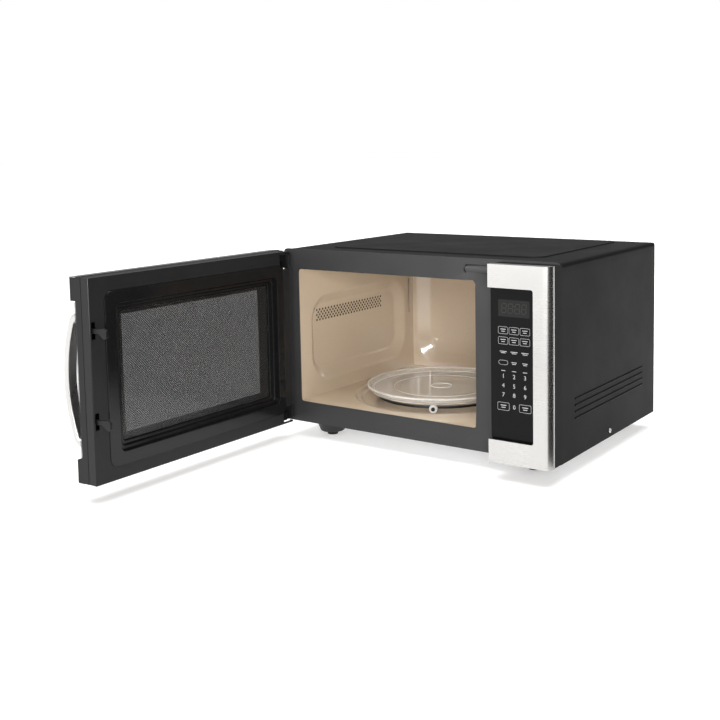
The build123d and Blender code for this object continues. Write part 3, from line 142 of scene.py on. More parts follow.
def surface(
    name, colour, rough, metal=0.0, shade=0.12, cloud=14.0, rough_swing=0.08,
    grain=900.0, bump=0.10, stretch=(1, 1, 1), fleck=None, **shader,
):
    """A Principled material whose colour, roughness and bump come from layered noise.

    cloud and grain are noise scales per metre: the slow colour drift and the surface texture.
    stretch squeezes the grain along an axis, for brushed metal. fleck is (colour, share).
    """
    made = bpy.data.materials.new(name)
    made.use_nodes = True
    tree = made.node_tree
    bsdf = tree.nodes["Principled BSDF"]
    link = tree.links.new
    for key, value in shader.items():
        bsdf.inputs[key.replace("_", " ")].default_value = value
    bsdf.inputs["Metallic"].default_value = metal
    where = node(tree, "TexCoord")
    squeeze = node(tree, "Mapping", Scale=stretch)
    link(where.outputs["Object"], squeeze.inputs["Vector"])

    drift = node(tree, "TexNoise", Scale=cloud, Detail=3.0, Roughness=0.6)
    link(where.outputs["Object"], drift.inputs["Vector"])
    fine = node(tree, "TexNoise", Scale=grain, Detail=4.0, Roughness=0.65)
    link(squeeze.outputs["Vector"], fine.inputs["Vector"])

    darker = [c * (1 - shade) for c in colour]
    lighter = [min(1, c * (1 + shade)) for c in colour]
    tone = colour_ramp(tree, (0.3, darker), (0.7, lighter))
    both = node(tree, "Mix", data_type="FLOAT")
    both.inputs[0].default_value = 0.5
    link(drift.outputs["Fac"], both.inputs[2])
    link(fine.outputs["Fac"], both.inputs[3])
    link(both.outputs[0], tone.inputs["Fac"])
    colour_out = tone.outputs["Color"]
    if fleck:
        spots = node(tree, "TexVoronoi", Scale=grain * 0.5)
        link(where.outputs["Object"], spots.inputs["Vector"])
        sieve = colour_ramp(tree, (fleck[1], (1, 1, 1)), (fleck[1] + 0.08, (0, 0, 0)))
        link(spots.outputs["Distance"], sieve.inputs["Fac"])
        dotted = node(tree, "Mix", data_type="RGBA")
        dotted.inputs[7].default_value = (*fleck[0], 1)
        link(sieve.outputs["Color"], dotted.inputs[0])
        link(colour_out, dotted.inputs[6])
        colour_out = dotted.outputs[2]
    link(colour_out, bsdf.inputs["Base Color"])

    worn = node(
        tree, "MapRange", From_Min=0.25, From_Max=0.75,
        To_Min=max(0.02, rough - rough_swing), To_Max=min(1.0, rough + rough_swing),
    )
    link(both.outputs[0], worn.inputs["Value"])
    link(worn.outputs["Result"], bsdf.inputs["Roughness"])

    relief = node(tree, "Bump", Strength=bump, Distance=0.0004)
    link(fine.outputs["Fac"], relief.inputs["Height"])
    link(relief.outputs["Normal"], bsdf.inputs["Normal"])
    return made


M = {}
M["casing"] = surface(
    "casing_satin_black", (0.0054, 0.0054, 0.0056), 0.42, grain=1500, bump=0.05, shade=0.14,
    Specular_IOR_Level=0.045,
)
M["front"] = surface(
    "front_satin_grey", (0.032, 0.032, 0.0325), 0.44, grain=1800, bump=0.10, shade=0.07,
    Specular_IOR_Level=0.20,
)
M["door_panel"] = surface(
    "door_satin_charcoal", (0.0155, 0.0155, 0.016), 0.40, grain=1800, bump=0.10, shade=0.10,
    Specular_IOR_Level=0.18,
)
M["enamel"] = surface(
    "oven_enamel_beige", (0.585, 0.478, 0.355), 0.15, grain=420, bump=0.030, shade=0.035,
    cloud=9, rough_swing=0.05, fleck=((0.40, 0.30, 0.20), 0.05),
    Coat_Weight=0.7, Coat_Roughness=0.05, Specular_IOR_Level=0.5,
)
M["steel"] = surface(
    "brushed_stainless", (0.475, 0.467, 0.456), 0.27, metal=1.0, grain=700, bump=0.001,
    stretch=(0.03, 0.03, 1.6), shade=0.04, rough_swing=0.02, Anisotropic=0.45,
)
M["steel_upright"] = surface(
    "brushed_stainless_handle", (0.56, 0.552, 0.54), 0.30, metal=1.0, grain=700, bump=0.05,
    stretch=(1.6, 0.4, 0.03), shade=0.05, rough_swing=0.06, Anisotropic=0.3,
)
M["black"] = surface(
    "moulded_black_plastic", (0.0085, 0.0085, 0.009), 0.36, grain=1300, bump=0.10, shade=0.15,
    Specular_IOR_Level=0.18,
)
M["gloss"] = surface(
    "gloss_black_plastic", (0.0075, 0.0075, 0.008), 0.16, grain=500, bump=0.015, shade=0.15,
    rough_swing=0.05, Specular_IOR_Level=0.28,
)
M["housing"] = surface(
    "housing_satin_black", (0.0045, 0.0045, 0.0047), 0.40, grain=1300, bump=0.05, shade=0.12,
    Specular_IOR_Level=0.04,
)
M["panel_glass"] = surface(
    "black_control_glass", (0.006, 0.006, 0.0062), 0.14, grain=60, bump=0.004, shade=0.06,
    rough_swing=0.03, Specular_IOR_Level=0.08,
)
M["screen"] = surface(
    "screen_black_enamel", (0.011, 0.011, 0.011), 0.42, grain=2500, bump=0.04, shade=0.15,
    Specular_IOR_Level=0.30,
)
M["rubber"] = surface(
    "foot_rubber", (0.012, 0.012, 0.012), 0.75, grain=2600, bump=0.25, shade=0.25,
    Specular_IOR_Level=0.25,
)
M["zinc"] = surface(
    "zinc_plated_sheet", (0.50, 0.51, 0.52), 0.40, metal=0.9, grain=90, bump=0.04, shade=0.10,
    cloud=45,
)
M["white_plastic"] = surface(
    "white_acetal", (0.74, 0.73, 0.70), 0.38, grain=1400, bump=0.05, shade=0.05,
    Subsurface_Weight=0.08, Subsurface_Scale=0.004,
)
M["hinge"] = surface(
    "hinge_plated_steel", (0.60, 0.59, 0.57), 0.26, metal=1.0, grain=800, bump=0.06,
    stretch=(0.2, 1, 1), shade=0.10,
)
M["hinge_black"] = surface(
    "hinge_blackened_steel", (0.020, 0.020, 0.021), 0.34, metal=0.3, grain=900, bump=0.06,
    shade=0.12, Specular_IOR_Level=0.4,
)
M["spring"] = surface(
    "spring_wire", (0.48, 0.48, 0.49), 0.22, metal=1.0, grain=1500, bump=0.05, shade=0.10,
)
M["mica"] = surface(
    "mica_sheet", (0.52, 0.45, 0.33), 0.34, grain=260, bump=0.10, shade=0.22, cloud=60,
)
M["board"] = surface(
    "circuit_board", (0.055, 0.15, 0.060), 0.35, grain=420, bump=0.12, shade=0.30, cloud=160,
)
M["magnet"] = surface(
    "magnetron_grey_steel", (0.36, 0.36, 0.38), 0.42, metal=0.8, grain=260, bump=0.08, shade=0.12,
)
M["core"] = surface(
    "laminated_core", (0.13, 0.12, 0.115), 0.55, metal=0.6, grain=1200, bump=0.5,
    stretch=(1.5, 0.05, 0.05), shade=0.3,
)
M["copper"] = surface(
    "enamelled_copper", (0.50, 0.20, 0.085), 0.33, metal=0.85, grain=1500, bump=0.5,
    stretch=(0.05, 0.05, 1.2), shade=0.25,
)
M["can"] = surface(
    "aluminium_can", (0.62, 0.62, 0.64), 0.30, metal=1.0, grain=500, bump=0.05,
    stretch=(0.1, 1, 1), shade=0.07,
)
M["foil"] = surface(
    "membrane_foil", (0.30, 0.31, 0.32), 0.3, grain=700, bump=0.03, shade=0.08,
)
M["ink"] = surface(
    "printed_white", (0.42, 0.42, 0.42), 0.5, grain=2500, bump=0.02, shade=0.06,
)
M["display"] = surface(
    "display_window", (0.010, 0.0098, 0.0095), 0.16, grain=300, bump=0.01, shade=0.08,
    Specular_IOR_Level=0.2,
)
M["segments"] = surface(
    "display_ghost_segments", (0.021, 0.020, 0.0185), 0.3, grain=900, bump=0.02, shade=0.06,
    Specular_IOR_Level=0.2,
)


def clear(name, colour, rough, grain, bump, **shader):
    """A see-through Principled material with a slightly uneven surface."""
    return surface(
        name, colour, rough, grain=grain, bump=bump, shade=0.03, rough_swing=rough * 0.5, **shader
    )


M["tray_glass"] = clear(
    "tray_glass", (0.98, 0.955, 0.915), 0.04, 620, 0.06,
    Transmission_Weight=0.74, IOR=1.50, Specular_IOR_Level=0.5,
)
# Nearly opaque milky glass for the tray's rings: painted highlight in place of the glints of clear
# glass edges.
M["ridge_glass"] = clear(
    "tray_ridge_painted_glint_glass", (0.95, 0.93, 0.90), 0.12, 620, 0.05,
    Transmission_Weight=0.15, IOR=1.50, Specular_IOR_Level=0.5,
)
M["lamp_glass"] = clear(
    "lamp_glass", (0.97, 0.95, 0.90), 0.06, 300, 0.03, Transmission_Weight=0.95, IOR=1.48
)
M["door_glass"] = clear(
    "tinted_door_glass", (0.010, 0.010, 0.011), 0.05, 60, 0.004, Alpha=0.45,
    Specular_IOR_Level=0.5,
)
M["film"] = clear(
    "window_film", (0.04, 0.04, 0.04), 0.09, 40, 0.02, Alpha=0.09, Specular_IOR_Level=0.6,
)

NODES_OF_MATERIAL = {
    "casing": "outer_casing foot_dishes",
    "zinc": "base_plate rear_panel waveguide capacitor_clamp lamp_holder",
    "front": "front_plate",
    "hinge": "casing_screws turntable_motor handle_screws",
    "rubber": "rubber_feet",
    "black": "cord_gland fan_shroud air_duct door_frame latch_slider roller_ring",
    "enamel": "cavity_ceiling cavity_left_wall cavity_right_wall cavity_rear_wall cavity_floor",
    "mica": "waveguide_cover",
    "housing": "control_housing",
    "steel": "control_bezel door_trim",
    "panel_glass": "control_glass",
    "foil": "keypad_membrane",
    "gloss": "display_module high_voltage_diode interlock_switches choke_cover",
    "board": "control_board filter_board",
    "magnet": "magnetron",
    "core": "transformer_core fan_motor",
    "copper": "transformer_windings",
    "can": "capacitor thermal_cutouts",
    "white_plastic": (
        "fan_blade interlock_bracket drive_coupler roller_1 roller_2 roller_3 "
        "switch_plunger_1 switch_plunger_2 switch_plunger_3"
    ),
    "lamp_glass": "oven_lamp",
    "hinge_black": "upper_hinge lower_hinge",
    "door_glass": "door_glass",
    "door_panel": "door_panel",
    "screen": "door_screen",
    "film": "window_film",
    "steel_upright": "door_handle",
    "spring": "latch_spring",
    "tray_glass": "glass_tray",
}
for key, names in NODES_OF_MATERIAL.items():
    for name in names.split():
        slots = frame["nodes"][name].data.materials
        slots.clear()
        slots.append(M[key])

# ---------------------------------------------------------------- mesh helpers


def show(name, data):
    """A new object in the scene."""
    made = bpy.data.objects.new(name, data)
    bpy.context.scene.collection.objects.link(made)
    return made


def build(name, points, faces, key, swing=False):
    """A mesh object from points in millimetres, drawn closed if it belongs to the door."""
    mesh = bpy.data.meshes.new(name)
    mesh.from_pydata((np.asarray(points, float) * MM).tolist(), [], faces)
    if swing:
        mesh.transform(SWING)
    mesh.materials.append(M[key])
    return show(name, mesh)


def edit(piece, change):
    """Runs a change, given as a function, on the piece's mesh."""
    mesh = bmesh.new()
    mesh.from_mesh(piece.data)
    change(mesh)
    mesh.to_mesh(piece.data)
    mesh.free()


def settle(piece, thick=0.0, sharp=32.0, merge=0.04):
    """Joins doubled points, gives the sheet its thickness and sets which edges stay sharp."""
    def join_doubles(mesh):
        bmesh.ops.remove_doubles(mesh, verts=mesh.verts, dist=merge * MM)
        bmesh.ops.dissolve_degenerate(mesh, edges=mesh.edges, dist=merge * MM)

    edit(piece, join_doubles)
    if thick:
        solid = piece.modifiers.new("thickness", "SOLIDIFY")
        solid.thickness = thick * MM
        solid.offset = -1.0
        graph = bpy.context.evaluated_depsgraph_get()
        thickened = bpy.data.meshes.new_from_object(piece.evaluated_get(graph))
        piece.modifiers.clear()
        piece.data = thickened
    for face in piece.data.polygons:
        face.use_smooth = True
    piece.data.set_sharp_from_angle(angle=math.radians(sharp))
    return piece


def stands_for(piece, body, node_name):
    """Puts a finished piece on its body in place of a CAD node."""
    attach(piece, body)
    if node_name:
        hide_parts(node_name)
    return piece


def lines(*runs):
    """Grid lines: each run is (start, end, count); shared ends are given once."""
    values = [np.linspace(start, end, count + 1) for start, end, count in runs]
    return np.unique(np.round(np.concatenate(values), 5))


def grid_faces(columns, rows, skip=None):
    """Quads of a grid of points stored row by row; skip leaves out cells."""
    faces = []
    for j in range(rows - 1):
        for i in range(columns - 1):
            if skip is not None and skip[j, i]:
                continue
            a = j * columns + i
            faces.append((a, a + 1, a + columns + 1, a + columns))
    return faces


def rounded_distance(u, v, u0, u1, v0, v1, radius):
    """Signed distance to a rounded rectangle, negative inside."""
    du = np.abs(u - (u0 + u1) / 2) - (u1 - u0) / 2 + radius
    dv = np.abs(v - (v0 + v1) / 2) - (v1 - v0) / 2 + radius
    outside = np.hypot(np.maximum(du, 0), np.maximum(dv, 0))
    return outside + np.minimum(np.maximum(du, dv), 0) - radius


def ramp(distance, width, depth, soft):
    """A pressed slope: depth reached after a width, with rounded shoulders of length soft."""
    t = np.clip(distance, 0, width)
    steep = depth / (width - soft)
    head = steep * t**2 / (2 * soft)
    middle = steep * (t - soft / 2)
    tail = depth - steep * (width - t) ** 2 / (2 * soft)
    return np.where(t < soft, head, np.where(t > width - soft, tail, middle))


def holed_tiles(centres, half_u, half_v, radius, sides):
    """Flat tiles with a round hole each, as points (u, v) and faces; sides is 8 or 16."""
    ring = [(1, 0), (1, 1), (0, 1), (-1, 1), (-1, 0), (-1, -1), (0, -1), (1, -1)]
    edge = np.array([(a * half_u, b * half_v) for a, b in ring])
    turns = np.unwrap(np.arctan2(edge[:, 1], edge[:, 0]))
    step = sides // 8
    hole = []
    for k in range(8):
        ahead = turns[(k + 1) % 8] + (2 * math.pi if k == 7 else 0)
        for s in range(step):
            angle = turns[k] + (ahead - turns[k]) * s / step
            hole.append((radius * math.cos(angle), radius * math.sin(angle)))
    tile = np.vstack([edge, np.array(hole)])
    pattern = []
    for k in range(8):
        inner = [8 + (k * step + s) % sides for s in range(step + 1)]
        pattern.append([k, (k + 1) % 8, *reversed(inner)])
    points, faces = [], []
    for n, (u, v) in enumerate(centres):
        points.append(tile + (u, v))
        faces += [[n * len(tile) + i for i in face] for face in pattern]
    return np.vstack(points), faces


def rounded_rect(x0, x1, z0, z1, radius, arc=10, side=6):
    """Points round a rounded rectangle, anticlockwise, always the same count."""
    centres = [
        (x1 - radius, z1 - radius, 0), (x0 + radius, z1 - radius, 90),
        (x0 + radius, z0 + radius, 180), (x1 - radius, z0 + radius, 270),
    ]
    corners = []
    for cx, cz, start in centres:
        turn = np.radians(start + np.linspace(0, 90, arc + 1))
        corners.append(np.stack([cx + radius * np.cos(turn), cz + radius * np.sin(turn)], 1))
    points = []
    for k in range(4):
        points.append(corners[k])
        ahead = corners[(k + 1) % 4][0]
        share = np.linspace(0, 1, side + 2)[1:-1, None]
        points.append(corners[k][-1] * (1 - share) + ahead * share)
    return np.vstack(points)


def gather(*shells):
    """One array of points and one list of faces from several (points, faces) pairs."""
    points, faces = [], []
    count = 0
    for more, more_faces in shells:
        points.append(more)
        faces += [tuple(i + count for i in face) for face in more_faces]
        count += len(more)
    return np.vstack(points), faces


def upright(loop, y):
    """Points (x, z) stood up at one depth, as (x, y, z)."""
    return np.stack([loop[:, 0], np.full(len(loop), y), loop[:, 1]], 1)


def ring_strip(contours):
    """Quads between following closed contours of the same point count."""
    count = len(contours[0])
    faces = []
    for k in range(len(contours) - 1):
        for i in range(count):
            j = (i + 1) % count
            faces.append((k * count + i, k * count + j, (k + 1) * count + j, (k + 1) * count + i))
    return np.vstack(contours), faces


def soften(profile, radius, step=0.35):
    """Rounds the corners of a polyline of (s, height) pairs by averaging along its length."""
    profile = np.array(profile, float)
    lengths = np.r_[0, np.cumsum(np.hypot(*np.diff(profile, axis=0).T))]
    dense = np.arange(0, lengths[-1] + step / 2, step / 2)
    path = np.stack([np.interp(dense, lengths, profile[:, k]) for k in (0, 1)], 1)
    reach = max(1, int(radius / (step / 2)))
    kernel = np.ones(2 * reach + 1) / (2 * reach + 1)
    padded = np.vstack([
        path[0] + (path[0] - path[1]) * np.arange(reach, 0, -1)[:, None], path,
        path[-1] + (path[-1] - path[-2]) * np.arange(1, reach + 1)[:, None],
    ])
    smooth = np.stack([np.convolve(padded[:, k], kernel, "valid") for k in (0, 1)], 1)
    keep = [0]
    for n in range(1, len(smooth) - 1):
        before, after = smooth[n] - smooth[keep[-1]], smooth[n + 1] - smooth[n]
        turn = abs(math.atan2(before[0] * after[1] - before[1] * after[0], before @ after))
        if turn > math.radians(5):
            keep.append(n)
    keep.append(len(smooth) - 1)
    return smooth[keep]


def lathe(profile, centre, segments=96):
    """A turned surface from (radius, height) pairs round a vertical axis."""
    turn = np.linspace(0, 2 * math.pi, segments, endpoint=False)
    contours = []
    for r, z in profile:
        contours.append(np.stack(
            [centre[0] + r * np.cos(turn), centre[1] + r * np.sin(turn), np.full(segments, z)], 1
        ))
    return ring_strip(contours)


def flat_sheet(name, loops, key, y):
    """An upright flat sheet inside the first loop of (x, z), with the other loops cut out."""
    mesh = bmesh.new()
    edges = []
    for loop in loops:
        verts = [mesh.verts.new(Vector((u, y, v)) * MM) for u, v in loop]
        edges += [mesh.edges.new(pair) for pair in zip(verts, verts[1:] + verts[:1])]
    bmesh.ops.triangle_fill(mesh, use_beauty=True, use_dissolve=False, edges=edges)
    data = bpy.data.meshes.new(name)
    mesh.to_mesh(data)
    mesh.free()
    data.materials.append(M[key])
    return show(name, data)


def face_way(piece, way):
    """Turns the faces of a flat piece so that they look along a direction."""
    def turn(mesh):
        for face in mesh.faces:
            if face.normal.dot(Vector(way)) < -0.3:
                face.normal_flip()

    edit(piece, turn)


def face_away(piece, point):
    """Turns a whole sheet so that its normals look away from a point in millimetres."""
    target = Vector(point) * MM

    def turn(mesh):
        to_point = [f.normal.dot(target - f.calc_center_median()) for f in mesh.faces]
        if sum(f.calc_area() * way for f, way in zip(mesh.faces, to_point)) > 0:
            bmesh.ops.reverse_faces(mesh, faces=mesh.faces)

    edit(piece, turn)


def outward(piece):
    """Turns the faces of closed shells outward."""
    edit(piece, lambda mesh: bmesh.ops.recalc_face_normals(mesh, faces=mesh.faces))


def join(first, *others):
    """Joins pieces into the first one."""
    bpy.ops.object.select_all(action="DESELECT")
    for piece in (first, *others):
        piece.select_set(True)
    bpy.context.view_layer.objects.active = first
    bpy.ops.object.join()
    return first


def box_points(x0, x1, y0, y1, z0, z1):
    """The corners and faces of a box."""
    points = [(x, y, z) for z in (z0, z1) for y in (y0, y1) for x in (x0, x1)]
    faces = [(0, 2, 3, 1), (4, 5, 7, 6), (0, 1, 5, 4), (2, 6, 7, 3), (0, 4, 6, 2), (1, 3, 7, 5)]
    return points, faces


# ---------------------------------------------------------------- casing


def make_casing():
    """The bent wrap: sides and top in one sheet, with the pressed top field and side ribs."""
    corner = 8.0
    y0, y1 = case_low[1], DEPTH
    field = (-212.0, 207.0, 57.0, 366.0)
    field_corner = 20.0
    slope = 1.8  # width of the step up to the field
    lip = 1.7  # the border round the field lies this far below it
    rib_heights = [BASE + 62.3 + 10.3 * k for k in range(4)]
    rib_y0, rib_y1, rib_tall, rib_proud = 46.0, 324.0, 4.4, 1.4

    def step_lines(start, way):
        """Grid runs across a field's edge: fine over the step, coarser over the corner."""
        runs = [(start - way, start + way * 5, 18), (start + way * 5, start + way * 24, 9)]
        return [(min(a, b), max(a, b), count) for a, b, count in runs]

    low, high = rib_heights[0] - 4, rib_heights[-1] + 4
    side = lines((case_low[2], low, 6), (low, high, 105), (high, TOP - corner, 16))
    across = lines(
        (-HALF + corner, field[0] - 1, 4), *step_lines(field[0], 1),
        (field[0] + 24, field[1] - 24, 20), *step_lines(field[1], -1),
        (field[1] + 1, HALF - corner, 4),
    )
    along = lines(
        (y0, rib_y0 - 1, 4), (rib_y0 - 1, rib_y0 + 4, 10), (rib_y0 + 4, field[2] - 1, 4),
        *step_lines(field[2], 1), (field[2] + 24, rib_y1 - 4, 20), (rib_y1 - 4, rib_y1 + 1, 10),
        (rib_y1 + 1, field[3] - 24, 4), *step_lines(field[3], -1), (field[3] + 1, y1 - 1.5, 6),
    )
    turn = np.radians(np.linspace(0, 90, 9)[1:-1])
    bend = np.stack([corner * np.cos(turn), corner * np.sin(turn)], 1)
    right = np.stack([np.full(len(side), HALF), side], 1)
    right_bend = bend + (HALF - corner, TOP - corner)
    top = np.stack([across[::-1], np.full(len(across), TOP)], 1)
    left_bend = bend[::-1] * (-1, 1) + (-HALF + corner, TOP - corner)
    left = np.stack([np.full(len(side), -HALF), side[::-1]], 1)
    outline = np.vstack([right, right_bend, top, left_bend, left])

    rows = []
    for y in along:
        x, z = outline[:, 0].copy(), outline[:, 1].copy()
        on_top = np.abs(x) <= HALF - corner + 1e-6
        inside = -rounded_distance(x, y, *field, field_corner)
        raised = ramp(inside, slope, lip, 0.5)
        z -= np.where(z > TOP - corner, lip * (z - TOP + corner) / corner, 0)
        z += np.where(on_top, raised, 0)
        on_right = (x > HALF - 1e-6) & (z < TOP - corner)
        for height in rib_heights:
            away = -rounded_distance(
                np.full(len(z), y), z, rib_y0, rib_y1, height - rib_tall / 2, height + rib_tall / 2,
                rib_tall / 2 - 0.01,
            )
            x += np.where(on_right, ramp(away, 2.1, rib_proud, 1.0), 0)
        rows.append(np.stack([x, np.full(len(x), y), z], 1))
    # the wrap turns inward at the back
    for turned, y in ((0.2, y1 - 0.75), (0.75, y1 - 0.2), (1.5, y1), (6.0, y1), (12.0, y1)):
        x = np.clip(outline[:, 0], -HALF + turned, HALF - turned)
        z = np.minimum(outline[:, 1], TOP - lip - turned)
        rows.append(np.stack([x, np.full(len(x), y), z], 1))
    faces = grid_faces(len(outline), len(rows))
    piece = build("casing_wrap", np.vstack(rows), faces, "casing")
    face_away(piece, (0, DEPTH / 2, BASE + 120))
    settle(piece, SHEET)
    stands_for(piece, "cabinet", "outer_casing")


# ---------------------------------------------------------------- front plate


def pill_ring(cx, cz, long, tall, inset, count=12):
    """Points round a pill shape, inset from its outline."""
    radius = tall / 2 - inset
    reach = (long - tall) / 2
    turn = np.radians(np.linspace(-90, 90, count))
    right = np.stack([cx + reach + radius * np.cos(turn), cz + radius * np.sin(turn)], 1)
    left = np.stack([cx - reach - radius * np.cos(turn), cz - radius * np.sin(turn)], 1)
    return np.vstack([right, left])


def make_front_plate():
    """The plate round the cavity mouth, with its window, latch slots and pressed bead."""
    x0, x1 = plate_low[0], plate_high[0]
    y0, y1 = plate_low[1], plate_high[1]
    z0, z1 = plate_low[2], plate_high[2]
    corner = 8
    turn = np.radians(np.linspace(0, 90, 9))
    shift = [(corner * (math.cos(t) - 1), corner * (math.sin(t) - 1)) for t in turn]
    outline = [(x0, z0), (x1, z0)]
    outline += [(x1 + u, z1 + v) for u, v in shift]
    outline += [(x0 - u, z1 + v) for u, v in reversed(shift)]
    mouth = rounded_rect(
        CAVITY_LEFT + 0.5, CAVITY_RIGHT - 0.5, CAVITY_FLOOR - 0.4, CAVITY_CEILING - 0.1, 5.0
    )
    window = rounded_rect(177.0, 262.0, BASE + 40.0, BASE + 265.0, 4.0)
    half_wide, half_tall = 5.5, 19
    slots = [
        rounded_rect(
            HOOK_X - half_wide, HOOK_X + half_wide, height - half_tall, height + half_tall,
            1.5, arc=4, side=1,
        )
        for height in HOOK_HEIGHTS
    ]
    bead = (130.75, BASE + 291.6, 61.3, 15.2)  # centre, length and height with its groove
    loops = [outline, mouth, window, *slots, pill_ring(*bead, 0.0)]
    plate = flat_sheet("front_plate_sheet", loops, "front", y0)
    face_way(plate, (0, -1, 0))
    press = [  # inset from the bead's outline, depth: a groove round a raised pill
        (0.0, 0.0), (0.3, 0.9), (0.5, 2.3), (2.1, 2.3), (2.3, 0.9), (2.7, -0.4), (3.3, -0.7),
        (7.4, -0.7),
    ]
    points, faces = ring_strip([upright(pill_ring(*bead, inset), y0 + d) for inset, d in press])
    boss = build("front_plate_bead", points, faces, "front")
    face_way(boss, (0, -1, 0))
    plate = join(plate, boss)
    settle(plate, y1 - y0, sharp=28, merge=2.0)
    stands_for(plate, "cabinet", "front_plate")


# ---------------------------------------------------------------- cavity


def vent_patch(centres_by_row, pitch_u, pitch_v, radius, sides, u0, u1):
    """Staggered rows of holed tiles, filled out to straight ends at u0 and u1."""
    shells = []
    for v, row in centres_by_row:
        centres = [(u, v) for u in row]
        shells.append(holed_tiles(centres, pitch_u / 2, pitch_v / 2, radius, sides))
        low, high = v - pitch_v / 2, v + pitch_v / 2
        for start, end in ((u0, row[0] - pitch_u / 2), (row[-1] + pitch_u / 2, u1)):
            if end - start > 1e-4:
                quad = [(start, low), (end, low), (end, high), (start, high)]
                shells.append((np.array(quad), [(0, 1, 2, 3)]))
    return gather(*shells)


def make_left_wall():
    """The cavity's left wall: a pressed recess with a field of vents, and a strip of small ones."""
    y0, y1, z0, z1 = CAVITY_FRONT, CAVITY_BACK, CAVITY_FLOOR, CAVITY_CEILING
    recess = (30.0, 335.0, BASE + 60.0, BASE + 224.0)
    recess_depth = 13.0
    vent_radius, small_radius, wide = 2.2, 2.0, 8.0
    pitch_y, pitch_z, rows = 8.75, 4.6, 5
    vent_y, vent_z = 165.5, BASE + 181.0
    patch = (vent_y - 12 * pitch_y, vent_y + 12 * pitch_y,
             vent_z - rows * pitch_z / 2, vent_z + rows * pitch_z / 2)
    strip_y, strip_z, strip_pitch, strip_count = 347.0, BASE + 150.0, 5.4, 13
    strip = (strip_y - wide / 2, strip_y + wide / 2, strip_z - strip_pitch / 2,
             strip_z + (strip_count - 0.5) * strip_pitch)
    along = np.unique(np.round(np.concatenate([
        lines((y0, 28, 6), (28, 80, 34), (80, 285, 20), (285, 337, 34), (337, y1, 5)),
        np.arange(49) * pitch_y / 2 + patch[0], strip[:2], [strip_y],
    ]), 5))
    up = np.unique(np.round(np.concatenate([
        lines((z0, 85, 4), (85, 138, 34), (138, 200, 8), (200, 253, 34), (253, z1, 8)),
        np.arange(2 * rows + 1) * pitch_z / 2 + patch[2],
        np.arange(2 * strip_count + 1) * strip_pitch / 2 + strip[2],
    ]), 5))
    yy, zz = np.meshgrid(along, up)
    depth = ramp(-rounded_distance(yy, zz, *recess, 52.0), 26.0, recess_depth, 7.0)
    points = np.stack([CAVITY_LEFT - depth, yy, zz], -1).reshape(-1, 3)
    mid_y, mid_z = (along[:-1] + along[1:]) / 2, (up[:-1] + up[1:]) / 2
    skip = np.zeros((len(mid_z), len(mid_y)), bool)
    for a0, a1, b0, b1 in (patch, strip):
        skip |= np.outer((mid_z > b0) & (mid_z < b1), (mid_y > a0) & (mid_y < a1))
    faces = grid_faces(len(along), len(up), skip)

    staggered = []
    for n in range(rows):
        v = patch[2] + (n + 0.5) * pitch_z
        count = 24 if n % 2 == 0 else 23
        row = [vent_y + (i - (count - 1) / 2) * pitch_y for i in range(count)]
        staggered.append((v, row))
    strip_rows = [(strip_z + n * strip_pitch, [strip_y]) for n in range(strip_count)]
    vents = vent_patch(staggered, pitch_y, pitch_z, vent_radius, 16, patch[0], patch[1])
    small = vent_patch(strip_rows, wide, strip_pitch, small_radius, 16, strip[0], strip[1])
    shells = [(points, faces)]
    for (flat, flat_faces), x in ((vents, CAVITY_LEFT - recess_depth), (small, CAVITY_LEFT)):
        shells.append((np.stack([np.full(len(flat), x), flat[:, 0], flat[:, 1]], 1), flat_faces))
    wall = build("cavity_left_sheet", *gather(*shells), "enamel")
    face_way(wall, (1, 0, 0))
    settle(wall, 0.3, sharp=50)
    stands_for(wall, "cabinet", "cavity_left_wall")


def make_rear_wall():
    """The cavity's rear wall with its wide pressed recess."""
    x0, x1, z0, z1 = CAVITY_LEFT, CAVITY_RIGHT, CAVITY_FLOOR, CAVITY_CEILING
    mid_z = (z0 + z1) / 2
    recess = (x0 + 6, x1 - 6, mid_z - 112.1, mid_z + 112.1)
    across = lines((x0, x0 + 4, 2), (x0 + 4, x0 + 56, 34), (x0 + 56, x1 - 56, 24),
                   (x1 - 56, x1 - 4, 34), (x1 - 4, x1, 2))
    up = lines((z0, z0 + 4, 2), (z0 + 4, z0 + 56, 34), (z0 + 56, z1 - 56, 14),
               (z1 - 56, z1 - 4, 34), (z1 - 4, z1, 2))
    xx, zz = np.meshgrid(across, up)
    depth = ramp(-rounded_distance(xx, zz, *recess, 46.0), 32.0, 13.0, 8.0)
    points = np.stack([xx, CAVITY_BACK + depth, zz], -1).reshape(-1, 3)
    wall = build("cavity_rear_sheet", points, grid_faces(len(across), len(up)), "enamel")
    face_way(wall, (0, -1, 0))
    settle(wall, SHEET, sharp=60)
    stands_for(wall, "cabinet", "cavity_rear_wall")


